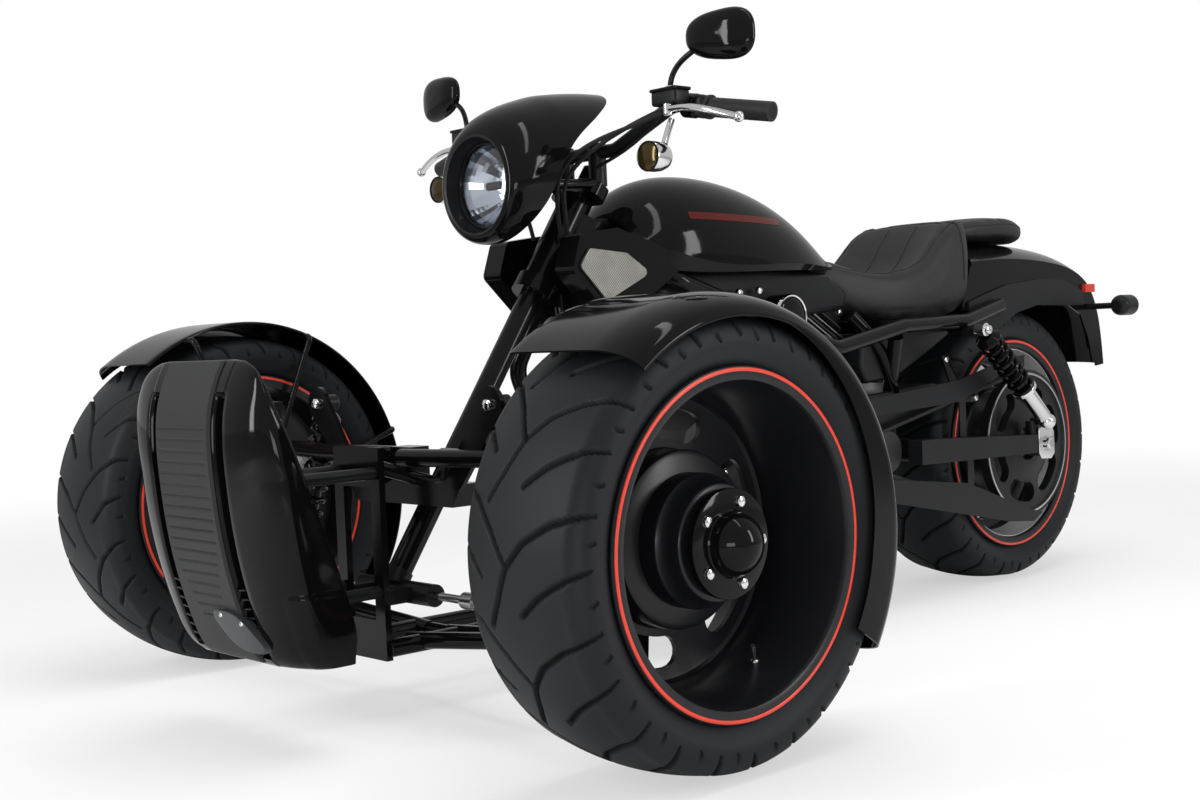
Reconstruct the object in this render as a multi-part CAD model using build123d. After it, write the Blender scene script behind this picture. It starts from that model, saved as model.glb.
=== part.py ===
from build123d import *
import math
import os

os.makedirs("parts", exist_ok=True)

# A reverse trike: two wide steered wheels in front, one driven wheel behind, and a V-twin between.
# X runs forward from the front axle, Y to the left and Z up from the floor. Everything is moved along
# X as it is saved, so that the origin ends on the floor below the middle of the machine's length.

# Main layout
wheelbase = 1660.0
track = 1293.4
rim_seat_diameter = 457.0
sidewall_height = 96.0
tyre_width = 240.0
shroud_reach = 430.0
band_stand = 5.0
fender_tail_reach = 420.0
plate_stand = 5.0
seat_gap = 0.3
cut_over = 2.0

seat_radius = rim_seat_diameter / 2
tyre_radius = seat_radius + sidewall_height
axle_height = tyre_radius
rear_axle_x = -wheelbase
nose_reach = shroud_reach + band_stand
tail_reach = wheelbase + fender_tail_reach + plate_stand
wheel_y = track / 2
middle_x = (nose_reach - tail_reach) / 2


def save(node, *solids):
    """Moves the solids to the shared origin and writes them as one named piece."""
    moved = [solid.moved(Location((-middle_x, 0, 0))) for solid in solids]
    export_step(moved[0] if len(moved) == 1 else Compound(children=moved), f"parts/{node}.step")


def both(solid):
    """The solid and its mirror image on the other side."""
    return solid, mirror(solid, about=Plane.XZ)


def rod(start, end, radius):
    """A round bar between two points."""
    run = Vector(*end) - Vector(*start)
    return Solid.make_cylinder(radius, run.length, Plane(origin=start, z_dir=run))


def pipe(points, radius, bend):
    """A round bar along straight runs joined by bends."""
    path = FilletPolyline(*points, radius=bend)
    return sweep(Plane(origin=path @ 0, z_dir=path % 0) * Circle(radius), path=path)


def side_plate(points, y_low, y_high):
    """An outline in X and Z, given thickness from one Y to another."""
    face = make_face(Polyline(*[(x, 0, z) for x, z in points], close=True))
    return extrude(face.moved(Location((0, y_low, 0))), amount=y_high - y_low, dir=(0, 1, 0))


def front_plate(points, x_low, x_high):
    """An outline in Y and Z, given thickness from one X to another."""
    face = make_face(Polyline(*[(0, y, z) for y, z in points], close=True))
    return extrude(face.moved(Location((x_low, 0, 0))), amount=x_high - x_low, dir=(1, 0, 0))


def turned(points, centre):
    """A ring turned about a line along Y, from (radius, offset along Y) points."""
    face = make_face(Polyline(*[(r, y) for r, y in points], close=True))
    return revolve(face, axis=Axis.Y).moved(Location(centre))


front_left_hub = (0, wheel_y, axle_height)
rear_hub = (rear_axle_x, 0, axle_height)

# Tyres: low, square-shouldered sections
shoulder_radius = 34.0
tread_crown = 9.0
tread_side = 17.0
bead_width = tyre_width - 2 * tread_side
flange_height = 17.5
flange_radius = seat_radius + flange_height
wall_tuck = 5.0
corner_share = 0.55


def tyre(centre):
    """A fat tyre with a nearly flat tread and full round shoulders."""
    half = tyre_width / 2
    bead = bead_width / 2
    wall_r = tyre_radius - shoulder_radius - tread_crown
    edge_r = tyre_radius - tread_crown
    bulge_r = (flange_radius + wall_r) / 2
    cut_r = tyre_radius - shoulder_radius * corner_share
    cut_y = half - shoulder_radius * corner_share
    lines = [
        Line((flange_radius, bead), (seat_radius, bead)),
        Line((seat_radius, bead), (seat_radius, -bead)),
        Line((seat_radius, -bead), (flange_radius, -bead)),
        ThreePointArc((flange_radius, -bead), (bulge_r, -half), (wall_r, -half + wall_tuck)),
        ThreePointArc((wall_r, -half + wall_tuck), (cut_r, -cut_y), (edge_r, -half + shoulder_radius)),
        ThreePointArc((edge_r, -half + shoulder_radius), (tyre_radius, 0), (edge_r, half - shoulder_radius)),
        ThreePointArc((edge_r, half - shoulder_radius), (cut_r, cut_y), (wall_r, half - wall_tuck)),
        ThreePointArc((wall_r, half - wall_tuck), (bulge_r, half), (flange_radius, bead)),
    ]
    return revolve(make_face(lines), axis=Axis.Y).moved(Location(centre))


tyre_left = tyre(front_left_hub)
save("tyre_front_left", tyre_left)
save("tyre_front_right", mirror(tyre_left, about=Plane.XZ))
save("tyre_rear", tyre(rear_hub))

# Front rims: a deep dish with a slotted disc near the middle of the barrel
flange_width = 9.0
rim_half_width = bead_width / 2
barrel_wall = 6.0
drop_depth = 19.5
drop_radius = seat_radius - drop_depth
disc_offset = -46.0
disc_wall = 8.0
dish_offset = 2.0
slot_count = 6
slot_inset = 63.5
slot_radius = seat_radius - slot_inset
slot_width = 46.0
slot_angle = 20.0
slot_start_angle = 102.0
boss_inset = 100.5
boss_radius = seat_radius - boss_inset
boss_bore = 60.0


def rim(centre, disc_y, dish_y, boss_y, bore):
    """A rim turned in one piece, with a row of curved slots through its disc."""
    lip = rim_half_width + flange_width
    inner = seat_radius - barrel_wall
    profile = [
        (seat_radius, -rim_half_width),
        (flange_radius, -rim_half_width),
        (flange_radius, -lip),
        (inner, -lip),
        (drop_radius, disc_y - disc_wall),
        (bore, disc_y - disc_wall),
        (bore, boss_y),
        (boss_radius - barrel_wall, boss_y),
        (boss_radius, boss_y - barrel_wall),
        (boss_radius, disc_y),
        (drop_radius - disc_wall, disc_y),
        (drop_radius, dish_y),
        (inner, lip),
        (flange_radius, lip),
        (flange_radius, rim_half_width),
        (seat_radius, rim_half_width),
    ]
    body = turned(profile, (0, 0, 0))
    plane = Plane(origin=(0, disc_y - disc_wall - cut_over, 0), x_dir=(1, 0, 0), z_dir=(0, 1, 0))
    for number in range(slot_count):
        middle = math.radians(slot_start_angle + 360 / slot_count * number)
        step = math.radians(slot_angle) / 2
        path = [(slot_radius * math.cos(middle + turn), -slot_radius * math.sin(middle + turn))
                for turn in (-step, 0, step)]
        slot = SlotArc(ThreePointArc(*path), height=slot_width)
        body -= extrude(plane * slot, amount=disc_wall + 2 * cut_over)
    return body.moved(Location(centre))


rim_left = rim(front_left_hub, disc_offset, dish_offset, dish_offset, boss_bore)
save("rim_front_left", rim_left)
save("rim_front_right", mirror(rim_left, about=Plane.XZ))

# Front hubs: a stepped barrel in the boss, a flange with five bolts and a domed cap
hub_barrel_radius = 96.0
hub_neck_radius = 70.0
hub_flange_radius = 77.0
hub_flange_offset = 87.0
hub_flange_wall = 10.0
hub_bolt_circle = 60.0
hub_bolt_radius = 6.0
hub_bolt_stand = 5.0
hub_bolt_count = 5
hub_bolt_start = 180.0
dome_radius = 44.0
dome_reach = 45.0
dome_skirt = 16.0
spindle_end = 40.0
spindle_radius = 17.5
spindle_fit = 0.05
brake_disc_inset = 88.5
brake_disc_radius = seat_radius - brake_disc_inset
brake_disc_wall = 6.0
brake_disc_offset = -84.0


def front_hub():
    """Hub, domed cap and brake disc of a left front wheel."""
    back = brake_disc_offset - brake_disc_wall
    bore = spindle_radius + spindle_fit
    inside = hub_flange_offset - hub_flange_wall
    shelf = (dome_radius, hub_flange_offset + dome_skirt)
    tip = (0, hub_flange_offset + dome_reach)
    rise = tip[1] - shelf[1]
    sphere = (dome_radius ** 2 + rise ** 2) / (2 * rise)
    halfway = math.asin(dome_radius / sphere) / 2
    crown = (sphere * math.sin(halfway), tip[1] - sphere * (1 - math.cos(halfway)))
    outline = Polyline(
        tip, (0, spindle_end), (bore, spindle_end), (bore, back), (brake_disc_radius, back),
        (brake_disc_radius, brake_disc_offset), (boss_bore, brake_disc_offset), (boss_bore, dish_offset),
        (hub_barrel_radius, dish_offset), (hub_barrel_radius, inside - hub_flange_wall),
        (hub_neck_radius, inside), (hub_flange_radius, inside), (hub_flange_radius, hub_flange_offset),
        (dome_radius, hub_flange_offset), shelf)
    body = revolve(make_face([outline, ThreePointArc(shelf, crown, tip)]), axis=Axis.Y)
    for number in range(hub_bolt_count):
        turn = math.radians(hub_bolt_start + 360 / hub_bolt_count * number)
        x = hub_bolt_circle * math.cos(turn)
        z = hub_bolt_circle * math.sin(turn)
        body += rod((x, inside, z), (x, hub_flange_offset + hub_bolt_stand, z), hub_bolt_radius)
    return body.moved(Location(front_left_hub))


hub_left = front_hub()
save("hub_front_left", hub_left)
save("hub_front_right", mirror(hub_left, about=Plane.XZ))

# Rear wheel: the same rim with a flatter disc, a brake disc on the right and the belt pulley on the left
rear_disc_offset = 20.0
rear_boss_offset = 60.0
rear_axle_radius = 12.5
pulley_inset = 63.5
pulley_radius = seat_radius - pulley_inset
pulley_width = 26.0
pulley_offset = 136.0
pulley_rim_wall = 12.0
pulley_web_wall = 8.0
pulley_hub_radius = 50.0
save("rim_rear", rim(rear_hub, rear_disc_offset, rear_disc_offset, rear_boss_offset,
                     rear_axle_radius + spindle_fit))


def rear_pulley():
    """Belt pulley with a thin web, and the boss that carries it on the rear hub."""
    low = pulley_offset - pulley_width / 2
    high = pulley_offset + pulley_width / 2
    bore = rear_axle_radius + spindle_fit
    web = low + pulley_web_wall
    profile = [
        (bore, rear_boss_offset),
        (pulley_hub_radius, rear_boss_offset),
        (pulley_hub_radius, low),
        (pulley_radius, low),
        (pulley_radius, high),
        (pulley_radius - pulley_rim_wall, high),
        (pulley_radius - pulley_rim_wall, web),
        (pulley_hub_radius, web),
        (pulley_hub_radius, high),
        (bore, high),
    ]
    return turned(profile, rear_hub)


save("pulley_rear", rear_pulley())
rear_brake_inset = 82.5
rear_brake_radius = seat_radius - rear_brake_inset
rear_brake_offset = -70.0
save("brake_disc_rear", turned([
    (rear_axle_radius + spindle_fit, rear_brake_offset),
    (rear_brake_radius, rear_brake_offset),
    (rear_brake_radius, rear_brake_offset + brake_disc_wall),
    (pulley_hub_radius, rear_brake_offset + brake_disc_wall),
    (pulley_hub_radius, rear_disc_offset - disc_wall),
    (rear_axle_radius + spindle_fit, rear_disc_offset - disc_wall),
], rear_hub))

# Steering knuckles: an upright inside each front wheel, turning on a vertical kingpin
kingpin_inset = 141.7
upright_inset = 117.7
kingpin_y = wheel_y - kingpin_inset
upright_y = wheel_y - upright_inset
upright_wall = 18.0
upright_half_width = 34.0
waist_share = 0.62
upper_ball_rise = 107.5
lower_ball_drop = 166.5
upper_ball_z = axle_height + upper_ball_rise
lower_ball_z = axle_height - lower_ball_drop
ball_radius = 17.0
ball_height = 30.0
kingpin_radius = 8.0
kingpin_fit = 0.05
lug_end_radius = 10.0
steer_arm_x = 80.0
steer_arm_inset = 19.0
steer_arm_drop = 110.5
steer_arm_y = kingpin_y - steer_arm_inset
steer_arm_z = axle_height - steer_arm_drop
steer_arm_radius = 9.0
steer_eye_radius = 15.0
steer_eye_height = 14.0
caliper_angle_low = 15.0
caliper_angle_high = 60.0
caliper_wall = 16.0
caliper_clearance = 6.0
caliper_depth = 44.0
caliper_stem = 14.0
fender_gap = 25.5
fender_wall = 4.0
fender_inner_inset = 114.7
fender_edge_outset = 43.3
fender_side_gap = 5.3
fender_inner_y = wheel_y - fender_inner_inset
fender_edge_y = wheel_y + fender_edge_outset
fender_skirt_y = wheel_y + tyre_width / 2 + fender_side_gap + fender_wall
fender_skirt_depth = 62.5
fender_round_depth = 8.5
fender_skirt_radius = tyre_radius - fender_skirt_depth
fender_round_radius = tyre_radius - fender_round_depth
fender_front_angle = 52.0
fender_back_angle = 214.0
skirt_cut_inset = 24.5
skirt_cut_radius = tyre_radius - skirt_cut_inset
skirt_cut_x = 34.0
skirt_cut_z = 26.0
fender_roll_share = 0.28
stay_radius = 6.0
stay_sink_share = 0.6
stay_bend = 30.0
stay_spread_share = 0.8
stay_angles = (68.0, 112.0, 160.0)


def at_angle(radius, degrees):
    """A point at a radius and an angle round the front axle, counted from the front upwards."""
    turn = math.radians(degrees)
    return radius * math.cos(turn), axle_height + radius * math.sin(turn)


def sector(radius_low, radius_high, start, end, y_low, y_high):
    """A curved block about the front axle between two radii and two angles."""
    middle = (start + end) / 2
    points = [at_angle(radius_low, start), at_angle(radius_low, middle), at_angle(radius_low, end)]
    points += [at_angle(radius_high, end), at_angle(radius_high, middle), at_angle(radius_high, start)]
    p = [Vector(x, 0, z) for x, z in points]
    face = make_face([ThreePointArc(p[0], p[1], p[2]), Line(p[2], p[3]), ThreePointArc(p[3], p[4], p[5]),
                      Line(p[5], p[0])])
    return extrude(face.moved(Location((0, y_low, 0))), amount=y_high - y_low, dir=(0, 1, 0))


def knuckle():
    """Left upright with its spindle, ball joint eyes, steering arm and brake caliper."""
    low_y = upright_y - upright_wall / 2
    waist = upright_half_width * waist_share
    shoulder = upright_half_width
    body = side_plate([
        (-waist, lower_ball_z - waist), (waist, lower_ball_z - waist), (shoulder, axle_height - shoulder),
        (shoulder, axle_height + shoulder), (waist, upper_ball_z + waist), (-waist, upper_ball_z + waist),
        (-shoulder, axle_height + shoulder), (-shoulder, axle_height - shoulder)],
        low_y, low_y + upright_wall)
    spindle_tip = wheel_y + spindle_end - seat_gap
    body += rod((0, upright_y, axle_height), (0, spindle_tip, axle_height), spindle_radius)
    for z in (lower_ball_z, upper_ball_z):
        low = (0, kingpin_y, z - ball_height / 2)
        high = (0, kingpin_y, z + ball_height / 2)
        body += rod(low, high, ball_radius)
        body += rod((0, kingpin_y, z), (0, upright_y, z), ball_height / 2 - cut_over)
        body -= rod(low, high, kingpin_radius + kingpin_fit)
    eye_low = (steer_arm_x, steer_arm_y, steer_arm_z - steer_eye_height / 2)
    eye_high = (steer_arm_x, steer_arm_y, steer_arm_z + steer_eye_height / 2)
    body += rod((0, upright_y, axle_height - shoulder), (steer_arm_x, steer_arm_y, steer_arm_z),
                steer_arm_radius)
    body += rod(eye_low, eye_high, steer_eye_radius)
    disc_y = wheel_y + brake_disc_offset - brake_disc_wall / 2
    shell = brake_disc_wall / 2 + caliper_clearance
    grip = sector(brake_disc_radius - caliper_depth, brake_disc_radius + caliper_wall + caliper_clearance,
                  caliper_angle_low, caliper_angle_high, disc_y - shell - caliper_wall,
                  disc_y + shell + caliper_wall)
    grip -= sector(brake_disc_radius - caliper_depth - cut_over, brake_disc_radius + caliper_clearance,
                   caliper_angle_low - cut_over, caliper_angle_high + cut_over, disc_y - shell, disc_y + shell)
    body += grip
    x, z = at_angle(brake_disc_radius - caliper_depth / 2, (caliper_angle_low + caliper_angle_high) / 2)
    body += rod((0, upright_y, axle_height), (x, disc_y - shell - caliper_wall / 2, z), caliper_stem)
    return body


knuckle_left = knuckle()
save("knuckle_left", knuckle_left)
save("knuckle_right", mirror(knuckle_left, about=Plane.XZ))


def front_fender():
    """Left fender: a thin band over the tread that rolls over into a skirt outside the tyre."""
    crown = tyre_radius + fender_gap
    rolled_r = crown - (crown - fender_round_radius) * fender_roll_share
    rolled_y = fender_skirt_y - (fender_skirt_y - fender_edge_y) * fender_roll_share
    outer = [
        (crown, fender_inner_y),
        (crown, fender_edge_y),
        (rolled_r, rolled_y),
        (fender_round_radius, fender_skirt_y),
        (fender_skirt_radius, fender_skirt_y),
    ]
    inner = [(fender_skirt_radius, fender_skirt_y - fender_wall)]
    inner += [(fender_round_radius - fender_wall, fender_skirt_y - fender_wall)]
    inner += [(rolled_r - fender_wall, rolled_y - fender_wall)]
    inner += [(crown - fender_wall, fender_edge_y), (crown - fender_wall, fender_inner_y)]
    face = make_face(Polyline(*(outer + inner), close=True))
    band = revolve(face, axis=Axis.Y).moved(Location((0, 0, axle_height)))
    keep = sector(fender_skirt_radius - cut_over, crown + cut_over, fender_front_angle, fender_back_angle,
                  fender_inner_y - cut_over, fender_skirt_y + cut_over)
    band = band & keep
    band -= rod((skirt_cut_x, fender_skirt_y - fender_wall - cut_over, axle_height + skirt_cut_z),
                (skirt_cut_x, fender_skirt_y + cut_over, axle_height + skirt_cut_z), skirt_cut_radius)
    top = crown - fender_wall - stay_radius * stay_sink_share
    foot_y = upright_y - upright_wall / 2 - stay_radius - seat_gap
    for angle in stay_angles:
        x, z = at_angle(top, angle)
        foot_x, foot_z = at_angle(upright_half_width * stay_spread_share, angle)
        band += pipe([(foot_x, foot_y, foot_z), (x, foot_y, z), (x, fender_inner_y + stay_bend * 2, z)],
                     stay_radius, stay_bend)
    return band


fender_left = front_fender()
save("fender_front_left", fender_left)
save("fender_front_right", mirror(fender_left, about=Plane.XZ))

# Steering axis: the column stands on it, from the rack's pinion housing up through the steering head
rake = 34.5
column_foot_x = 40.0
column_foot_z = 234.0
column_radius = 21.0
column_length = 845.0
stem_radius = 16.0
head_low = 560.0
head_high = 775.0
head_radius = 31.0
head_fit = 0.05
head_gap = 1.0
yoke_wall = 26.0
yoke_half_width = 62.0
yoke_depth = 46.0
yoke_round_share = 0.4

lean = math.radians(rake)
column_up = Vector(-math.sin(lean), 0, math.cos(lean))
column_out = Vector(math.cos(lean), 0, math.sin(lean))
column_foot = Vector(column_foot_x, 0, column_foot_z)


def on_column(along, out, y):
    """A point given along the steering axis, forward of it and to the left."""
    spot = column_foot + column_up * along + column_out * out
    return spot.X, y, spot.Z


def column_plane(along):
    """A plane square to the steering axis, X forward and Y to the left."""
    return Plane(origin=on_column(along, 0, 0), x_dir=column_out, z_dir=column_up)


def column():
    """Steering column: a tube below the head, a stem through it and the upper yoke for the bars."""
    body = rod(on_column(0, 0, 0), on_column(head_low - head_gap, 0, 0), column_radius)
    body += rod(on_column(head_low - head_gap, 0, 0), on_column(column_length, 0, 0), stem_radius)
    yoke = RectangleRounded(yoke_depth, yoke_half_width * 2, yoke_depth * yoke_round_share)
    body += extrude(column_plane(head_high + head_gap) * yoke, amount=yoke_wall)
    return body


save("steering_column", column())

# Handlebar, risers, grips, levers, mirrors and front signals
bar_radius = 12.7
bar_bend = 60.0
bar_height = 957.0
bar_middle_x = -414.0
riser_y = 45.0
riser_radius = 17.0
bar_flat_y = 95.0
bar_rise_y = 265.0
bar_rise_forward = 14.0
bar_rise = 59.0
grip_inner_y = 335.0
grip_end_back = 20.0
grip_end_y = 460.0
grip_end_rise = 23.0
bar_rise_x = bar_middle_x + bar_rise_forward
bar_rise_z = bar_height + bar_rise
grip_end_x = bar_middle_x - grip_end_back
grip_end_z = bar_height + grip_end_rise
grip_radius = 17.0
grip_flange_radius = 21.0
grip_flange_width = 6.0
fit_gap = 0.05


def handlebar():
    """One bent bar in two risers on the upper yoke."""
    points = []
    for side in (1, -1):
        run = [(grip_end_x, side * grip_end_y, grip_end_z), (bar_rise_x, side * bar_rise_y, bar_rise_z),
               (bar_middle_x, side * bar_flat_y, bar_height)]
        points += run if side > 0 else run[::-1]
    body = pipe(points, bar_radius, bar_bend)
    x, y, z = on_column(head_high + head_gap + yoke_wall, 0, riser_y)
    riser = rod((bar_middle_x, y, z), (bar_middle_x, y, bar_height + riser_radius), riser_radius)
    body += riser
    body += mirror(riser, about=Plane.XZ)
    yoke = RectangleRounded(yoke_depth * 2, yoke_half_width * 2, yoke_depth * yoke_round_share)
    body -= extrude(column_plane(head_high - yoke_wall) * yoke, amount=head_gap + yoke_wall * 2)
    return body


bars = handlebar()
save("handlebar", bars)


def bar_point(y):
    """A point on the sloping outer run of the left half of the bar."""
    share = (y - bar_rise_y) / (grip_end_y - bar_rise_y)
    return Vector(bar_rise_x + (grip_end_x - bar_rise_x) * share, y,
                  bar_rise_z + (grip_end_z - bar_rise_z) * share)


def grip():
    """Left rubber grip with a flange at its inner end."""
    start = bar_point(grip_inner_y)
    end = Vector(grip_end_x, grip_end_y, grip_end_z)
    along = (end - start).normalized()
    body = rod(start, end, grip_radius) + rod(start, start + along * grip_flange_width, grip_flange_radius)
    return body - rod(start - along * cut_over, end + along * cut_over, bar_radius + fit_gap)


grip_left = grip()
save("grips", *both(grip_left))

reservoir_forward = 44.0
reservoir_x = bar_middle_x + reservoir_forward
reservoir_y = 285.0
reservoir_length = 62.0
reservoir_width = 40.0
reservoir_height = 34.0
reservoir_lift = 14.0
clamp_half_width = 12.0
lever_radius = 6.0
lever_tip_radius = 9.0
lever_bend = 25.0
lever_root_forward = 59.0
lever_root_y = 300.0
lever_knee_y = 330.0
lever_tip_forward = 45.0
lever_tip_y = 443.0
lever_tip_rise = 13.0
lever_root_rise = 45.0
lever_root_x = bar_middle_x + lever_root_forward
lever_tip_x = bar_middle_x + lever_tip_forward
lever_tip_z = bar_height + lever_tip_rise
lever_root_z = bar_height + lever_root_rise


def lever():
    """Left lever with its clamp and fluid reservoir."""
    clamp = bar_point(lever_root_y)
    tangent = (bar_point(grip_end_y) - clamp).normalized()
    body = rod(clamp - tangent * clamp_half_width, clamp + tangent * clamp_half_width,
               bar_radius + lever_tip_radius)
    tank = Box(reservoir_width, reservoir_length, reservoir_height)
    body += tank.moved(Location((reservoir_x, reservoir_y, clamp.Z + reservoir_lift)))
    body += pipe([(lever_root_x, reservoir_y, lever_root_z), (lever_root_x, lever_knee_y, lever_root_z),
                  (lever_tip_x, lever_tip_y, lever_tip_z)], lever_radius, lever_bend)
    body += Sphere(lever_tip_radius).moved(Location((lever_tip_x, lever_tip_y, lever_tip_z)))
    bore = bar_radius + fit_gap
    body -= rod(clamp - tangent * reservoir_length, clamp + tangent * clamp_half_width * 2, bore)
    return body


lever_left = lever() - bars
save("levers", *both(lever_left))

mirror_forward = 22.0
mirror_y = 388.0
mirror_rise = 159.0
mirror_x = bar_middle_x + mirror_forward
mirror_z = bar_height + mirror_rise
mirror_half_width = 72.0
mirror_half_height = 44.0
mirror_depth = 26.0
mirror_round = 18.0
mirror_turn = 8.0
mirror_stem_radius = 5.0
mirror_stem_bend = 18.0


def side_mirror():
    """Left mirror: a flat oval housing with a rounded front on a thin stem."""
    shell = extrude(Ellipse(mirror_half_width, mirror_half_height), amount=mirror_depth)
    rim_edge = shell.edges().sort_by(Axis.Z)[-1]
    shell = fillet(rim_edge, mirror_round)
    place = Plane(origin=(mirror_x, mirror_y, mirror_z),
                  x_dir=(-math.sin(math.radians(mirror_turn)), math.cos(math.radians(mirror_turn)), 0),
                  z_dir=(math.cos(math.radians(mirror_turn)), math.sin(math.radians(mirror_turn)), 0))
    shell = place * shell
    top = bar_point(lever_root_y).Z + reservoir_lift + reservoir_height / 2
    foot = (reservoir_x, reservoir_y, top + seat_gap)
    stem = pipe([foot, (reservoir_x, reservoir_y, top + mirror_stem_bend),
                 (mirror_x + mirror_depth / 2, mirror_y - mirror_half_width / 2, mirror_z)],
                mirror_stem_radius, mirror_stem_bend / 2)
    return shell + stem


mirror_left = side_mirror()
save("mirrors", *both(mirror_left))

signal_forward = 92.0
signal_y = 296.0
signal_drop = 39.0
signal_radius = 26.0
signal_length = 54.0
signal_stalk_radius = 6.0
signal_x = bar_middle_x + signal_forward
signal_z = bar_height - signal_drop
round_share = 0.7


def signal():
    """Left front turn signal: a bullet on a short stalk under the lever clamp."""
    body = rod((signal_x - signal_length / 2, signal_y, signal_z), (signal_x + signal_length / 2, signal_y,
               signal_z), signal_radius)
    body = fillet(body.edges().sort_by(Axis.X)[0], signal_radius * round_share)
    low = bar_point(lever_root_y).Z + reservoir_lift - reservoir_height / 2 - seat_gap
    body += rod((signal_x - signal_length / 3, signal_y, signal_z), (reservoir_x, signal_y, low),
                signal_stalk_radius)
    cut = Box(reservoir_width * 2, reservoir_length * 2, signal_radius)
    return body - cut.moved(Location((reservoir_x, signal_y, low + signal_radius / 2))) - lever_left


signal_left = signal()
save("signals_front", *both(signal_left))

# Headlamp and the small fairing round it
lamp_z = 893.0
lamp_front_x = -112.0
lamp_lens_radius = 73.0
lamp_shell_radius = 80.0
lamp_depth = 105.0
lamp_lens_rise = 16.0
lamp_rim_width = 12.0
lamp_arm_y = 52.0
lamp_arm_radius = 9.0
lamp_bowl_share = 0.6
lamp_arm_share = 0.8


def headlamp():
    """Round lamp with a domed lens, a bowl behind it and two arms back to the yoke."""
    rise = lamp_lens_rise
    sphere = (lamp_lens_radius ** 2 + rise ** 2) / (2 * rise)
    halfway = math.asin(lamp_lens_radius / sphere) / 2
    crown = (sphere * math.sin(halfway), rise - sphere * (1 - math.cos(halfway)))
    back = (0, -lamp_depth)
    bowl_edge = (lamp_shell_radius, -lamp_rim_width)
    outline = [
        ThreePointArc((0, rise), crown, (lamp_lens_radius, 0)),
        Line((lamp_lens_radius, 0), (lamp_shell_radius, 0)),
        Line((lamp_shell_radius, 0), bowl_edge),
        Line(bowl_edge, (lamp_shell_radius * lamp_bowl_share, -lamp_depth)),
        Line((lamp_shell_radius * lamp_bowl_share, -lamp_depth), back),
        Line(back, (0, rise)),
    ]
    bowl = revolve(make_face(outline), axis=Axis.Y)
    place = Plane(origin=(lamp_front_x, 0, lamp_z), x_dir=(0, 0, 1), z_dir=(0, 1, 0))
    bowl = place * bowl
    x, y, z = on_column(head_high + head_gap + yoke_wall / 2, yoke_depth / 2 - cut_over, lamp_arm_y)
    for side in (1, -1):
        bowl += rod((lamp_front_x - lamp_depth * lamp_arm_share, side * lamp_arm_y / 2, lamp_z),
                    (x, side * y, z), lamp_arm_radius)
    yoke = RectangleRounded(yoke_depth, yoke_half_width * 2, yoke_depth * yoke_round_share)
    return bowl - extrude(column_plane(head_high + head_gap) * yoke, amount=yoke_wall)


headlamp_shell = headlamp()
save("headlamp", headlamp_shell)

# Fairing: a shell that grows from the lamp's rim up and back over the bars
fairing_wall = 4.0
fairing_first_radius = lamp_shell_radius + fairing_wall + seat_gap
fairing_rings = [
    # x, centre height, half width, half height
    (lamp_front_x, lamp_z, fairing_first_radius, fairing_first_radius),
    (-161.0, 900.0, 101.0, 103.0),
    (-216.0, 915.0, 113.0, 121.0),
    (-300.0, 926.0, 121.0, 134.0),
    (-390.0, 930.0, 125.0, 140.0),
    (-480.0, 931.0, 127.0, 141.0),
]
fairing_edge = [(-196.0, 780.0), (-236.0, 858.0), (-264.0, 923.0), (-305.0, 971.0), (-380.0, 1022.0),
                (-458.0, 1080.0)]


def fairing():
    """Small open fairing, lofted through ovals and hollowed, with a rear edge that sweeps up and back."""
    def hull(inset):
        rings = []
        for x, z, width, height in fairing_rings:
            plane = Plane(origin=(x, 0, z), x_dir=(0, 1, 0), z_dir=(1, 0, 0))
            rings.append(plane * Ellipse(width - inset, height - inset))
        return loft(rings)
    reach = fairing_rings[-1][3] * 2
    low_x, low_z = fairing_edge[0]
    top_x, top_z = fairing_edge[-1]
    behind = [(top_x - reach, top_z + reach), (top_x - reach, low_z - reach), (low_x, low_z - reach)]
    return hull(0) - hull(fairing_wall) - side_plate(fairing_edge + behind, -reach, reach)


fairing_shell = fairing() - headlamp_shell
save("fairing", fairing_shell)

# Steering rack across the front, with its pinion housing under the column and the tie rods
rack_x = 45.0
bulk_x = 108.0
bulk_wall = 12.0
rack_z = 200.0
rack_housing_radius = 19.0
rack_housing_half = 105.0
rack_bar_radius = 7.0
rack_bar_half = 200.0
rack_boot_radius = 14.0
pinion_radius = 24.0
column_gap = 0.6
rack_lug_y = 53.0
rack_lug_half_width = 7.0
rack_lug_half_height = 12.0
tie_rod_radius = 8.0
tie_end_radius = 15.0
tie_end_height = 10.0
tie_end_x = 77.0
tie_gap = 1.0
tie_sink_share = 0.8
tie_neck_share = 0.62


def steering_rack():
    """Rack housing with the pinion tower that the column stands over."""
    body = rod((rack_x, -rack_housing_half, rack_z), (rack_x, rack_housing_half, rack_z), rack_housing_radius)
    body += rod(on_column(-pinion_radius, 0, 0), on_column(-column_gap, 0, 0), pinion_radius)
    lug = Box(bulk_x - seat_gap - rack_x, rack_lug_half_width * 2, rack_lug_half_height * 2)
    for side in (1, -1):
        body += lug.moved(Location(((bulk_x - seat_gap + rack_x) / 2, side * rack_lug_y, rack_z)))
    body -= rod((rack_x, -rack_housing_half * 2, rack_z), (rack_x, rack_housing_half * 2, rack_z),
                rack_bar_radius + fit_gap)
    return body


save("steering_rack", steering_rack())


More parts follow.
